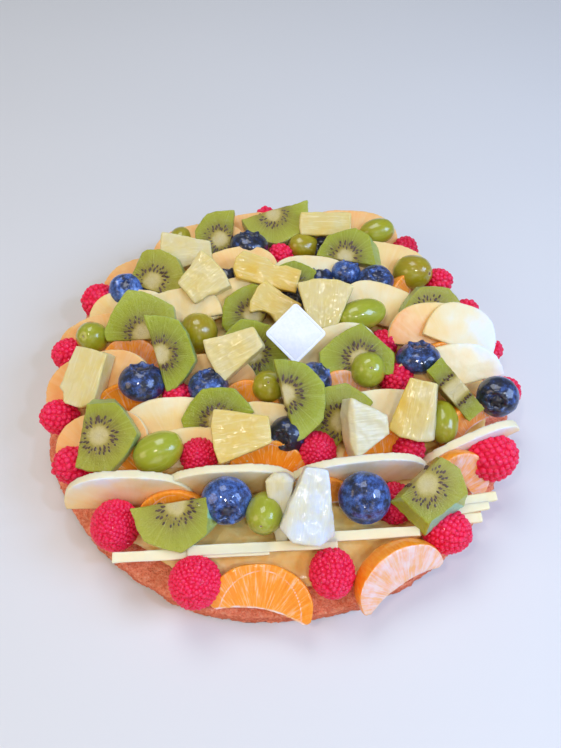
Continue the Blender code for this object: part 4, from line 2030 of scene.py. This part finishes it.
@dataclass
class Plaque:
    """The small blank card on top, with rounded corners and a thin sunk border.

    Attributes:
        side: Of the square.
        corner: The corners' radius.
        thickness: Of the card.
        margin: Outside the border line.
        line: The border line's width.
        lie: How it lies.
    """

    side: float = 21.4
    corner: float = 1.8
    thickness: float = 1.2
    margin: float = 1.1
    line: float = 0.35
    lie: Lie = Lie(0, 52, 45)

    def build(self) -> Object:
        """Rounds a square plate, sinks its border line, and lays it on the fruit.

        Returns:
            The card.
        """
        put_everything_down()
        bpy.ops.mesh.primitive_cube_add(size=MM)
        card = just_added("blank_card")
        with editing(card):
            bpy.ops.transform.resize(value=(self.side, self.side, self.thickness))
            bpy.ops.mesh.select_mode(type="EDGE")
            bpy.ops.mesh.select_all(action="DESELECT")
            body = bmesh.from_edit_mesh(card.data)
            for edge in body.edges:
                start, end = edge.verts
                edge.select_set((start.co - end.co).xy.length < 1e-6)
            bmesh.update_edit_mesh(card.data)
            bpy.ops.mesh.bevel(offset=self.corner * MM, segments=6, affect="EDGES")
            choose_faces(card, lambda middle, normal: normal.z > 0.9)
            bpy.ops.mesh.inset(thickness=self.margin * MM)
            bpy.ops.mesh.inset(thickness=0.08 * MM, depth=-0.12 * MM)
            bpy.ops.mesh.inset(thickness=self.line * MM)
            bpy.ops.mesh.inset(thickness=0.08 * MM, depth=0.12 * MM)
        rounding = card.modifiers.new("worn edge", "BEVEL")
        rounding.width = 0.12 * MM
        rounding.segments = 2
        rounding.limit_method = "ANGLE"
        apply_modifiers(card)
        count = len(card.data.vertices)
        remember(card, np.zeros(count), np.zeros(count), 4.0)
        card.data.transform(self.lie.turn())
        low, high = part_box("plaque")
        target = Vector(((low.x + high.x) / 2, (low.y + high.y) / 2, high.z))
        card.data.transform(Matrix.Translation(target - top_middle(card)))
        take(card)
        bpy.ops.object.shade_smooth_by_angle(angle=math.radians(35))
        card.data.materials.append(CARD.material())
        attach(card, "root")
        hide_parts("plaque")
        return card


@dataclass
class SliceRow:
    """SlicedApple slices that overlap in a row and are one solid.

    Attributes:
        name: The solid's name.
        slices: Each slice, with the middle of its straight side from the middle of the base's underside.
    """

    name: str
    slices: list[tuple[SlicedApple, tuple[float, float, float]]]

    def build(self) -> Object:
        """Lays the slices beside each other and sets the row where its solid is.

        Returns:
            The row.
        """
        pieces = []
        for apple, spot in self.slices:
            piece = apple.built()
            piece.data.transform(Matrix.Translation(Vector(spot) * MM) @ apple.lie.turn())
            pieces.append(piece)
        row = joined(pieces, "sliced_" + self.name)
        low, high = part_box(self.name)
        target = Vector(((low.x + high.x) / 2, (low.y + high.y) / 2, high.z))
        row.data.transform(Matrix.Translation(target - top_middle(row)))
        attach(row, "root")
        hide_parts(self.name)
        return row


@dataclass
class KiwiSeeds:
    """All the kiwi seeds, real ones, set in the slices once these are laid.

    Attributes:
        length: Of a seed.
        width: Of a seed.
    """

    length: float = 2.5
    width: float = 1.1

    def build(self, kiwis: Sequence[Kiwi]) -> Object:
        """Models one seed and sets copies in every slice.

        Args:
            kiwis: The slices, already laid.

        Returns:
            The seeds as one piece.
        """
        put_everything_down()
        bpy.ops.mesh.primitive_uv_sphere_add(segments=8, ring_count=6, radius=0.5 * MM)
        seeds = just_added("kiwi_seeds")
        with editing(seeds):
            bpy.ops.transform.resize(value=(self.length, self.width, self.width * 0.7))
            choose_points(seeds, lambda place: place.x < -0.2)
            bpy.ops.transform.resize(value=(1, 0.6, 0.6))
        body = bmesh.new()
        tones: list[float] = []
        for kiwi in kiwis:
            for i, place in enumerate(kiwi.seed_places()):
                tone = noise.noise(Vector((i * 1.3, kiwi.seed, 2.0)))
                seed = seeds.data.copy()
                seed.transform(kiwi.matrix @ place @ Matrix.Scale(1 + 0.25 * tone, 4))
                body.from_mesh(seed)
                tones += [0.5 + 0.5 * tone] * len(seed.vertices)
                bpy.data.meshes.remove(seed)
        body.to_mesh(seeds.data)
        body.free()
        remember(seeds, np.clip(tones, 0, 1), np.zeros(len(tones)), 5.0)
        smooth_shaded(seeds)
        seeds.data.materials.append(SEEDS.material())
        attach(seeds, "root")
        return seeds


@dataclass
class Heap:
    """The fruit: the pieces that have a solid each, and the smaller ones tucked between them."""

    kiwis: list[Kiwi] = field(default_factory=list)

    def lay(self, fruit: Fruit) -> None:
        """Lays one piece of fruit in the place of its solid.

        Args:
            fruit: The piece.
        """
        piece = fruit.laid()
        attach(piece, "root")
        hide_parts(fruit.name)
        if isinstance(fruit, Kiwi):
            self.kiwis.append(fruit)
        LOG.info("%s: %d faces", piece.name, len(piece.data.polygons))

    def tuck(self, name: str, fruit: Sequence[Fruit]) -> None:
        """Tucks further pieces of one kind between the others.

        Args:
            name: What the pieces together are called.
            fruit: The pieces.
        """
        piece = joined([one.laid() for one in fruit], name)
        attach(piece, "root")
        self.kiwis += [one for one in fruit if isinstance(one, Kiwi)]
        LOG.info("%s: %d pieces, %d faces", name, len(fruit), len(piece.data.polygons))


GREEN, TURNING, AMBER = Ripe(0.15, 0.15), Ripe(0.3, 0.45), Ripe(0.6, 0.75)
# The third runs from peach on the own left and lower edge to milky white on the right: partly soaked flesh, partly
# painted light, warm from the left and cool from the right.
PEACH, MILKY, HALF_SOAKED_HALF_LIT = Ripe(0.80, 0.72, 0.12), Ripe(0.22, 0.14, 0.12), Ripe(0.85, 0.02, 0.20)

BLUEBERRIES = (
    Blueberry("blueberry_01", Lie(10, 74, 0), Ripe(0.2, 0.2), diameter=20.5, squash=0.90),
    Blueberry("blueberry_02", Lie(170, 62, 10), Ripe(0.9, 0.8), diameter=21.5, squash=0.70),
    Blueberry("blueberry_03", Lie(0, 80, 20), Ripe(0.5, 0.5), diameter=20.0, squash=0.92),
    Blueberry("blueberry_04", Lie(170, 62, 0), Ripe(0.7, 0.5), diameter=23.0, squash=0.78),
    Blueberry("blueberry_05", Lie(180, 76, 40), Ripe(0.6, 0.5), diameter=20.0, squash=0.82),
    Blueberry("blueberry_06", Lie(-170, 58, 15), Ripe(0.6, 0.4), diameter=22.5, squash=0.70),
    Blueberry("blueberry_07", Lie(-26, 34, 30), Ripe(0.9, 0.6), diameter=20.5, squash=0.86),
    Blueberry("blueberry_08", Lie(8, 28, 0), Ripe(0.4, 0.2), diameter=23.0, squash=0.86),
    Blueberry(
        "blueberry_09", Lie(-18, 53, 12), Ripe(0.5, 0.3), diameter=23.0, squash=0.86, end=BerryEnd.STALK
    ),
)

RASPBERRIES = (
    Raspberry("raspberry_01", Lie(-60, 30, 0), Ripe(0.1, 0.1), diameter=19.0, length=19.0),
    Raspberry("raspberry_02", Lie(-50, 35, 5), Ripe(0.3, 0.3), diameter=17.5, length=19.0),
    Raspberry("raspberry_03", Lie(-10, 55, 20), Ripe(0.2, 0.2), diameter=21.5, length=21.0, bead=2.1),
    Raspberry("raspberry_04", Lie(0, 45, 0), Ripe(0.0, 0.0), diameter=21.5, length=20.0, bead=2.1),
    Raspberry("raspberry_05", Lie(5, 25, 15), Ripe(0.2, 0.2), diameter=19.5, length=21.0, bead=2.5),
    Raspberry("raspberry_06", Lie(60, 25, 0), Ripe(0.1, 0.1), diameter=19.5, length=21.0, bead=2.5),
    Raspberry("raspberry_07", Lie(110, 20, 10), Ripe(0.1, 0.1), diameter=21.0, length=23.5, bead=3.3),
)

GRAPES = (
    Grape("grape_01", Lie(100, 10, 0), TURNING, diameter=15.5, length=21.0),
    Grape("grape_02", Lie(55, 25, 0), AMBER, diameter=19.5, length=22.0),
    Grape("grape_03", Lie(-68, 6, 0), GREEN, diameter=16.5, length=29.0, scarred=False),
    Grape("grape_04", Lie(-30, 50, 0), TURNING, diameter=16.5, length=18.0, scarred=False),
    Grape("grape_05", Lie(10, 60, 0), GREEN, diameter=18.0, length=20.0, scarred=False),
    Grape("grape_06", Lie(115, 12, 0), GREEN, diameter=18.5, length=24.0, scarred=False),
    Grape("grape_07", Lie(-10, 35, 0), GREEN, diameter=17.0, length=23.0, scarred=False),
)

KIWIS = (
    Kiwi("kiwi_01", Lie(0, 72, -163), Ripe(0.2, 0.5), radius=20.5, corners=(-4, 35, 75, 130, 186), core=(1.9, 0.9)),
    Kiwi("kiwi_02", Lie(-20, 60, 0), Ripe(0.3, 0.6), radius=16.5, corners=(-25, 22, 60, 97, 120, 150, 200), core=(0.2, -1.3), slants={5: 3.5}),
    Kiwi("kiwi_03", Lie(0, 66, -3), Ripe(0.1, 0.1), radius=19.0, corners=(-9, 35, 84, 135, 174), core=(-3.0, 1.8), slants={0: 5.0}),
    Kiwi("kiwi_04", Lie(0, 62, 4), Ripe(0.0, 0.3), radius=19.0, corners=(-27, 24, 106, 191, 205), core=(0.8, -5.0)),
    Kiwi("kiwi_05", Lie(-5, 56, -70), Ripe(0.0, 0.0), radius=19.5, corners=(0, 16, 64, 131, 182), core=(0.9, 2.0)),
    Kiwi("kiwi_06", Lie(0, 60, -1), Ripe(0.1, 0.0), radius=19.0, corners=(-22, 17, 80, 170, 202), core=(1.2, 0.5), slants={1: 1.6}),
    Kiwi("kiwi_07", Lie(10, 60, -89), Ripe(0.0, 0.0), radius=19.7, corners=(5, 15, 54, 104, 143, 186), core=(-2.8, 0.4)),
    Kiwi("kiwi_08", Lie(0, 68, -171), Ripe(0.1, 0.6), radius=19.0, corners=(-7, 39, 90, 153, 186), core=(-0.3, -0.9), slants={3: 4.5}, teal={3: 1.0}),
    Kiwi("kiwi_09", Lie(12, 62, -151), Ripe(0.6, 0.2), radius=16.5, corners=(-31, 45, 125, 182, 215), core=(-1.6, -5.0), slants={1: 5.0, 0: 3.6}, teal={1: 1.0, 0: 0.3}),
    Kiwi("kiwi_10", Lie(-8, 62, -93), Ripe(0.1, 0.6), radius=17.8, corners=(-25, 28, 101, 175, 208), core=(0.4, 0.3), slants={3: 3.0}),
    Kiwi("kiwi_11", Lie(124, 24, 209), Ripe(0.0, 0.2), radius=16.6, thickness=10.0, corners=(0, 45, 90, 135, 180), teal={0: 0.9}),
)

PINEAPPLES = (
    Pineapple(
        "pineapple_01", Lie(10, 60, 89), Ripe(0.45, 0.35), length=27, wide=26, narrow=10, thickness=12, nose=2,
        bites=(Bite(-17, -2, 10), Bite(15, -12, 9)),
    ),
    Pineapple(
        "pineapple_02", Lie(0, 58, -50), Ripe(0.5, 0.5), length=22, wide=25, narrow=14, thickness=12, nose=2,
        bites=(Bite(-18, -3, 9), Bite(17, -5, 9)),
    ),
    Pineapple(
        "pineapple_03", Lie(5, 56, 70), Ripe(0.75, 0.6), length=35, wide=15, narrow=12, thickness=13, nose=3,
        bites=(Bite(13, -4, 8),),
    ),
    Pineapple(
        "pineapple_04", Lie(0, 52, 90), Ripe(0.55, 0.5), length=30, wide=13, narrow=13, thickness=13, nose=1
    ),
    Pineapple(
        "pineapple_05", Lie(-5, 56, 1), Ripe(0.55, 0.45), length=25, wide=29, narrow=12, thickness=13, nose=3
    ),
    Pineapple(
        "pineapple_06", Lie(-8, 56, 125), Ripe(0.45, 0.45), length=26, wide=23, narrow=10.5, thickness=10, nose=2
    ),
    Pineapple(
        "pineapple_07", Lie(-22, 60, -177), Ripe(0.45, 0.4), length=28, wide=19, narrow=16, thickness=11, nose=4,
        bites=(Bite(12, 14, 7),),
    ),
    Pineapple(
        "pineapple_08", Lie(5, 64, 93), Ripe(0.62, 0.6), length=26, wide=25, narrow=11.5, thickness=10, nose=2
    ),
    Pineapple(
        "pineapple_09", Lie(28, 56, 72), Ripe(0.3, 0.25), length=19, wide=28, narrow=8, thickness=12, nose=2,
        facets=(Facet(90, 40, 2.5),),
    ),
    Pineapple(
        "pineapple_10", Lie(-30, 55, -169), Ripe(0.3, 0.75), length=27, wide=21, narrow=12, thickness=12, nose=2,
        facets=(Facet(180, 35, 5.0),),
    ),
    Pineapple(
        "pineapple_11", Lie(5, 60, 167), Ripe(0.1, 0.1), length=31, wide=25, narrow=9, thickness=14, nose=6,
        facets=(Facet(180, 40, 6.0), Facet(0, 30, 5.0)),
    ),
)

MANDARINS = (
    Mandarin("mandarin_01", Lie(0, 76, -10), Ripe(0.18, 0.18), length=43, depth=19, thickness=12),
    Mandarin("mandarin_02", Lie(22, 52, 12), Ripe(0.85, 0.95), length=42, depth=18, thickness=13),
)

SLICES = (
    SlicedApple("apple_01", Lie(8, 58, -12), HALF_SOAKED_HALF_LIT, length=57, depth=24),
    SlicedApple("apple_02", Lie(10, 58, 5), HALF_SOAKED_HALF_LIT, length=58, depth=21),
    SlicedApple("apple_03", Lie(-12, 62, 19), PEACH, length=58, depth=21),
    SlicedApple("apple_04", Lie(-14, 62, 23), PEACH, length=58, depth=23),
    SlicedApple("apple_05", Lie(-16, 64, 27), PEACH, length=46, depth=21),
    SlicedApple("apple_06", Lie(-20, 68, 29), PEACH, length=58, depth=21),
    SlicedApple("apple_07", Lie(-12, 68, 19), PEACH, length=58, depth=21),
    SlicedApple("apple_08", Lie(14, 66, -20), Ripe(0.6, 0.55), length=58, depth=21),
)

ROWS = (
    SliceRow(
        "apple_row_front",
        [
            (SlicedApple("front_left", Lie(3, -20, 180), MILKY, length=66, depth=16, bow=0), (-36, -97, 27)),
            (SlicedApple("front_middle", Lie(3, -20, 180), MILKY, length=64, depth=16, bow=0), (-6, -94.5, 28)),
            (SlicedApple("front_right", Lie(4, -20, 180), MILKY, length=52, depth=16, bow=0), (35, -89.5, 29)),
        ],
    ),
    SliceRow(
        "apple_row_middle",
        [
            (SlicedApple("middle_1", Lie(2, 12, -3), Ripe(0.1, 0.25, 0.5), length=60, depth=22.5, bow=0), (-66, -70, 15.5)),
            (SlicedApple("middle_2", Lie(3, 8, 0), Ripe(0.25, 0.2, 0.5), length=62, depth=18, bow=0), (-21, -65, 20)),
            (SlicedApple("middle_3", Lie(6, 8, 2), Ripe(0.2, 0.1, 0.4), length=66, depth=18, bow=0), (37, -60, 19.3)),
            (SlicedApple("middle_4", Lie(16, 4, 22), Ripe(0.3, 0.0, 0.3), length=54, depth=12, bow=0), (88, -46, 22)),
        ],
    ),
)

MORE_BLUEBERRIES = (
    Blueberry("b9", Lie(100, 60, 0), Ripe(0.5, 0.4), (17.5, -12.5, 42.0), diameter=17.5, squash=0.88),
    Blueberry("b12", Lie(-30, 40, 0), Ripe(1.0, 0.9), (4.5, -41.5, 38.5), diameter=18.5, squash=0.95),
    Blueberry("b3", Lie(180, 60, 0), Ripe(0.9, 0.9), (-29, 57, 38.5), diameter=17.0, squash=0.85),
    Blueberry("b4", Lie(180, 60, 0), Ripe(0.7, 0.7), (22.5, 57, 38.0), diameter=15.5, squash=0.85),
    Blueberry("b5", Lie(150, 50, 0), Ripe(0.3, 0.2), (36.8, 58.5, 41.0), diameter=16.5, squash=0.85),
    Blueberry("b15", Lie(0, 60, 0), Ripe(1.0, 1.0), (7.5, 41, 38.0), diameter=14.0, squash=0.85),
    Blueberry("b16", Lie(0, 60, 0), Ripe(1.0, 1.0), (25.0, 82, 35.0), diameter=15.0, squash=0.85),
)

MORE_RASPBERRIES = (
    Raspberry("r1", Lie(0, 60, 0), Ripe(0.1, 0.1), (0.5, 75.5, 37.0), diameter=15.5, length=15.0),
    Raspberry("r3", Lie(-80, 30, 0), Ripe(0.1, 0.1), (-108.0, 9.5, 33.0), diameter=18.0, length=18.0),
    Raspberry("r4", Lie(80, 30, 0), Ripe(0.2, 0.2), (88.0, 57.5, 35.0), diameter=16.0, length=17.0),
    Raspberry("r5", Lie(80, 30, 0), Ripe(0.3, 0.3), (100.5, 37.5, 33.0), diameter=13.5, length=14.0),
    Raspberry("r6", Lie(100, 30, 0), Ripe(0.3, 0.3), (110.0, 12.0, 30.0), diameter=12.0, length=13.0),
    Raspberry("r7", Lie(-70, 40, 0), Ripe(0.1, 0.1), (-106.0, -28.0, 33.0), diameter=17.5, length=19.0),
    Raspberry("r14", Lie(20, 60, 0), Ripe(0.6, 0.6), (59.0, -10.0, 37.5), diameter=18.5, length=18.0),
    Raspberry("r15", Lie(0, 60, 0), Ripe(0.5, 0.5), (-36.5, -50.0, 34.5), diameter=19.0, length=20.0, bead=2.3),
    Raspberry("r16", Lie(0, 60, 0), Ripe(0.6, 0.6), (17.5, -47.5, 35.0), diameter=19.0, length=20.0, bead=2.3),
    Raspberry("r17", Lie(20, 60, 0), Ripe(0.9, 0.9), (60.5, -46.5, 33.0), diameter=16.0, length=17.0),
    Raspberry("r18", Lie(20, 60, 0), Ripe(0.5, 0.5), (54.0, 14.0, 35.5), diameter=15.0, length=16.0),
    Raspberry("r19", Lie(0, 60, 0), Ripe(0.5, 0.5), (-49.0, -20.0, 36.0), diameter=17.0, length=18.0),
    Raspberry("r20", Lie(20, 50, 0), Ripe(0.7, 0.7), (51.7, -72.5, 32.5), diameter=19.0, length=20.0, bead=2.5),
    Raspberry("r21", Lie(180, 50, 0), Ripe(0.2, 0.2), (-8.0, 109.5, 34.0), diameter=15.0, length=16.0),
    Raspberry("r23", Lie(150, 50, 0), Ripe(1.0, 1.0), (72.5, 84.0, 33.5), diameter=16.0, length=16.0),
    Raspberry("r24", Lie(100, 50, 0), Ripe(0.2, 0.2), (109.5, -17.0, 36.5), diameter=17.0, length=17.0),
)

MORE_GRAPES = (
    Grape("g2", Lie(-90, 25, 0), AMBER, (14.5, 82.5, 37.5), diameter=16.0, length=20.0),
    Grape("g6", Lie(180, 40, 0), Ripe(0.7, 0.6), (-41.0, 16.5, 43.5), diameter=20.0, length=21.0, scarred=False),
    Grape("g8", Lie(0, 70, 0), Ripe(0.5, 0.5), (-5.0, -16.5, 41.0), diameter=16.0, length=17.0, scarred=False),
    Grape("g9", Lie(0, -10, 0), Ripe(0.45, 0.5), (77.5, -33.5, 35.5), diameter=15.0, length=22.0),
    Grape("g12", Lie(0, 20, 0), Ripe(0.6, 0.6), (-56.5, 90.0, 36.0), diameter=15.0, length=17.0, scarred=False),
)

MORE_KIWI = (
    Kiwi("k2", Lie(0, 66, 90), Ripe(0.1, 0.3), (-36.5, 84.0, 44.5), radius=17.0, core=(-1.9, 2.2), corners=(-20, 35, 80, 130, 190), voxel=0.6),
    Kiwi("k5", Lie(20, 50, 10), Ripe(0.5, 0.6), (80.5, 32.0, 42.5), radius=18.0, core=(-0.5, 4.5), corners=(-10, 35, 90, 140, 185), voxel=0.6),
    Kiwi("k9", Lie(10, 55, 30), Ripe(0.1, 0.1), (-13.0, 4.0, 45.0), radius=18.5, corners=(0, 70, 130, 200, 270, 320), voxel=0.6),
    Kiwi("k8", Lie(0, 60, 60), Ripe(0.1, 0.1), (-15.5, 30.0, 42.0), radius=17.0, corners=(-20, 30, 90, 140, 200), voxel=0.6),
    Kiwi("k15", Lie(-5, 60, 40), Ripe(0.0, 0.0), (-28.5, -34.5, 42.0), radius=17.5, corners=(-20, 30, 80, 140, 200), voxel=0.6),
    Kiwi("k17", Lie(0, 60, 50), Ripe(0.3, 0.3), (27.5, -33.0, 40.0), radius=18.5, corners=(-20, 30, 80, 140, 200), voxel=0.6),
    Kiwi("k18", Lie(0, 60, 0), Ripe(0.0, 0.0), (8.0, 55.0, 40.0), radius=16.0, corners=(-10, 40, 90, 140, 190), voxel=0.6),
)

MORE_PINEAPPLE = (
    Pineapple(
        "p3b", Lie(5, 56, 60), Ripe(0.6, 0.6), (-2.0, 33.0, 46.5), length=25, wide=18, narrow=13, thickness=9,
        bites=(Bite(-13, 2, 8),),
    ),
    Pineapple(
        "p12", Lie(-10, 50, 10), Ripe(0.25, 0.15), (0.6, -79.0, 43.0), length=29, wide=13, narrow=5, thickness=5.5, nose=3,
        facets=(Facet(90, 40, 3.0),), bites=(Bite(-9.5, -3, 5), Bite(9.5, 4, 5)),
    ),
)

MORE_MANDARIN = (
    Mandarin("m3", Lie(40, 48, -62), Ripe(0.7, 0.75), (83.5, -57.5, 35.5), length=28, depth=14, thickness=12),
    Mandarin("m4", Lie(0, 60, 20), Ripe(0.2, 0.2), (-74.0, -22.5, 36.0), length=36, depth=15, thickness=12),
    Mandarin("m5", Lie(10, 60, 10), Ripe(0.3, 0.3), (47.0, -46.0, 34.0), length=34, depth=15, thickness=12),
    Mandarin("m6", Lie(0, 60, 0), Ripe(0.2, 0.2), (-5.0, -50.0, 33.0), length=36, depth=15, thickness=12),
    Mandarin("m7", Lie(0, 60, 0), Ripe(0.2, 0.2), (-46.0, -74.0, 30.5), length=34, depth=14, thickness=11),
    Mandarin("m8", Lie(0, 60, 0), Ripe(0.6, 0.6), (-75.0, 8.0, 36.5), length=30, depth=14, thickness=11),
    Mandarin("m9", Lie(0, 60, 60), Ripe(0.1, 0.1), (-68.0, -58.0, 32.0), length=30, depth=14, thickness=12),
    Mandarin("m10", Lie(20, 50, 30), Ripe(0.2, 0.2), (89.5, -33.0, 33.0), length=30, depth=14, thickness=12),
    Mandarin("m11", Lie(0, 60, 20), Ripe(0.7, 0.7), (31.0, -15.0, 37.0), length=28, depth=14, thickness=11),
    Mandarin("m12", Lie(20, 60, 30), Ripe(0.1, 0.1), (82.0, 2.5, 34.5), length=26, depth=13, thickness=11),
    Mandarin("m13", Lie(0, 60, -20), Ripe(0.5, 0.5), (-14.0, -21.0, 37.0), length=30, depth=14, thickness=11),
    Mandarin("m14", Lie(30, 50, 60), Ripe(0.1, 0.1), (66.0, 46.0, 37.0), length=30, depth=14, thickness=12),
    Mandarin("m16", Lie(0, 60, 20), Ripe(0.1, 0.1), (19.5, -69.5, 31.0), length=30, depth=13, thickness=11),
)

MORE_SLICES = (
    SlicedApple("a3", Lie(2, 66, 6), PEACH, (-16.2, 94.9, 36), length=52, depth=20, voxel=0.85),
    SlicedApple("a4", Lie(6, 68, -8), PEACH, (41.2, 97.5, 36.5), length=56, depth=21, voxel=0.85),
    SlicedApple("a9", Lie(-12, 60, 10), PEACH, (-92.0, 17.0, 34), length=46, depth=18, voxel=0.85),
    SlicedApple("a10", Lie(0, 60, 5), Ripe(0.5, 0.5), (-39.5, -47.3, 33), length=52, depth=18, voxel=0.85),
    SlicedApple("a11", Lie(-3, 60, 6), Ripe(0.35, 0.3, 0.4), (-49.5, -33.2, 37), length=50, depth=19, voxel=0.85),
    SlicedApple("a12", Lie(0, 60, 0), Ripe(0.7, 0.7), (-34.2, -6.2, 36), length=48, depth=18, voxel=0.85),
    SlicedApple("a13", Lie(-10, 60, 10), Ripe(0.5, 0.4), (-78.0, 36.0, 37), length=46, depth=18, voxel=0.85),
    SlicedApple("a14", Lie(-5, 60, 15), Ripe(0.4, 0.5), (-52.0, 33.0, 40), length=46, depth=18, voxel=0.85),
    SlicedApple("a15", Lie(0, 60, 20), Ripe(0.6, 0.4), (-24.0, 38.0, 41.5), length=42, depth=18, voxel=0.85),
    SlicedApple("a16", Lie(5, 62, 8), Ripe(0.7, 0.6), (-22.7, 62.1, 41), length=46, depth=18, voxel=0.85),
    SlicedApple("a17", Lie(0, 62, -4), Ripe(0.35, 0.4), (17.7, 59.1, 38.5), length=48, depth=18, voxel=0.85),
    SlicedApple("a18", Lie(5, 60, -24), Ripe(0.4, 0.5), (53.5, 33.5, 41), length=50, depth=22, voxel=0.85),
    SlicedApple("a21", Lie(0, 58, 2), Ripe(0.25, 0.4), (50.9, -28.0, 37), length=52, depth=18, voxel=0.85),
    SlicedApple("a22", Lie(0, 60, 20), Ripe(0.5, 0.3), (27.9, 6.0, 41), length=46, depth=18, voxel=0.85),
    SlicedApple("a33", Lie(12, 60, -30), Ripe(0.45, 0.05, 0.1), (91.5, 16.5, 44.0), length=38, depth=23, thickness=3.4, voxel=0.8),
    SlicedApple("a30", Lie(9, -20, 180), MILKY, (80.5, -73.5, 31.0), length=30, depth=12, thickness=4.4, bow=0, voxel=0.6),
    SlicedApple("a31", Lie(11, -20, 180), MILKY, (78.5, -77.3, 29.6), length=27, depth=12, thickness=4.4, bow=0, voxel=0.6),
    SlicedApple("a32", Lie(7, -20, 180), MILKY, (76.0, -81.2, 28.0), length=25, depth=12, thickness=4.4, bow=0, voxel=0.6),
    SlicedApple("a24", Lie(0, 60, -6), Ripe(0.5, 0.5), (-6.2, -34.3, 36), length=40, depth=16, voxel=0.85),
)


# ---------------------------------------------------------------- the studio


@dataclass(frozen=True)
class Lamp:
    """A soft box.

    Attributes:
        name: Its name.
        place: Where it hangs, in metres.
        size: Its side, in metres.
        power: In watts.
        colour: The light's colour.
    """

    name: str
    place: tuple[float, float, float]
    size: float
    power: float
    colour: str

    def hang(self) -> None:
        """Hangs the lamp and points it at the tart."""
        light = bpy.data.lights.new(self.name, "AREA")
        light.shape = "SQUARE"
        light.size = self.size
        light.energy = self.power
        light.color = linear(self.colour)[:3]
        lamp = bpy.data.objects.new(self.name, light)
        bpy.context.scene.collection.objects.link(lamp)
        lamp.location = self.place
        aim = Vector((0, 0, 0.03)) - Vector(self.place)
        lamp.rotation_euler = aim.to_track_quat("-Z", "Y").to_euler()


@dataclass(frozen=True)
class Studio:
    """The floor, the lamps and the camera.

    Attributes:
        lamps: The soft boxes.
        sky: The light from all round.
        sky_strength: Its strength.
        floor_colour: The floor's colour.
        eye: Where the camera is, in metres.
        tilt: The camera's turn from looking straight down.
        lens: Its focal length.
    """

    lamps: tuple[Lamp, ...] = (
        Lamp("window", (0.75, -0.18, 0.62), 0.45, 6.0, "AAC8FF"),
        Lamp("top", (-0.15, 0.35, 0.95), 0.50, 3.4, "F4F8FF"),
        Lamp("warm_side", (-0.75, -0.25, 0.50), 0.40, 1.4, "FFE2C0"),
        Lamp("front_fill", (0.05, -0.80, 0.34), 0.50, 1.0, "FFF6F0"),
        Lamp("spark_front", (0.10, -0.50, 0.80), 0.045, 1.1, "FFFFFF"),
        Lamp("spark_right", (0.42, -0.34, 0.70), 0.05, 1.2, "BFD8FF"),
        Lamp("spark_left", (-0.22, -0.30, 0.85), 0.045, 0.9, "FFF6E8"),
    )
    sky: str = "E9EDF4"
    sky_strength: float = 0.25
    floor_colour: str = "D9D8D5"
    eye: tuple[float, float, float] = (0.0016, -0.1958, 0.2951)
    tilt: float = 35.5
    lens: float = 31.67

    def set_up(self) -> None:
        """Lays the floor, hangs the lamps and sets the camera."""
        put_everything_down()
        bpy.ops.mesh.primitive_plane_add(size=3.0, location=(0, 0, 0))
        floor = just_added("floor")
        floor.data.materials.append(self.floor_material())
        for lamp in self.lamps:
            lamp.hang()
        world = bpy.data.worlds.new("soft light all round")
        world.use_nodes = True
        sky = world.node_tree.nodes["Background"]
        sky.inputs["Color"].default_value = linear(self.sky)
        sky.inputs["Strength"].default_value = self.sky_strength
        bpy.context.scene.world = world
        camera = bpy.data.objects.new("camera", bpy.data.cameras.new("camera"))
        camera.data.lens = self.lens
        camera.data.sensor_width = 36.0
        camera.location = self.eye
        camera.rotation_euler = (math.radians(self.tilt), 0, 0)
        bpy.context.scene.collection.objects.link(camera)
        bpy.context.scene.camera = camera
        bpy.context.scene.view_settings.view_transform = "Standard"

    def floor_material(self) -> Material:
        """Pale matt board with the faintest cloud in it.

        Returns:
            The material.
        """
        material = bpy.data.materials.new("pale matt floor")
        material.use_nodes = True
        tree = material.node_tree
        shader = tree.nodes["Principled BSDF"]
        shader.inputs["Roughness"].default_value = 0.8
        cloud = add_node(tree, "ShaderNodeTexNoise", {"Scale": 6.0, "Detail": 3.0}).outputs["Fac"]
        tone = add_node(
            tree, "ShaderNodeValToRGB", {"Fac": cloud}, stops=((0.3, self.floor_colour), (0.7, "DEDDDA"))
        ).outputs[0]
        tree.links.new(tone, shader.inputs["Base Color"])
        return material


def main() -> None:
    """Builds the tart from the base up, then the studio."""
    logging.basicConfig(level=logging.INFO, format="%(name)s: %(message)s", stream=sys.stdout)
    base = Base().build()
    LOG.info("base: %s", ", ".join(piece.name for piece in base))
    LOG.info("cream: %s", Cream().build().name)
    for row in ROWS:
        LOG.info("apple row: %s", row.build().name)
    heap = Heap()
    for fruit in (*SLICES, *MANDARINS, *PINEAPPLES, *KIWIS, *GRAPES, *RASPBERRIES, *BLUEBERRIES):
        heap.lay(fruit)
    heap.tuck("more_apple", MORE_SLICES)
    heap.tuck("more_mandarin", MORE_MANDARIN)
    heap.tuck("more_pineapple", MORE_PINEAPPLE)
    heap.tuck("more_kiwi", MORE_KIWI)
    heap.tuck("more_grapes", MORE_GRAPES)
    heap.tuck("more_raspberries", MORE_RASPBERRIES)
    heap.tuck("more_blueberries", MORE_BLUEBERRIES)
    LOG.info("seeds: %s", KiwiSeeds().build(heap.kiwis).name)
    LOG.info("card: %s", Plaque().build().name)
    Studio().set_up()
    put_everything_down()


if __name__ == "__main__":
    main()
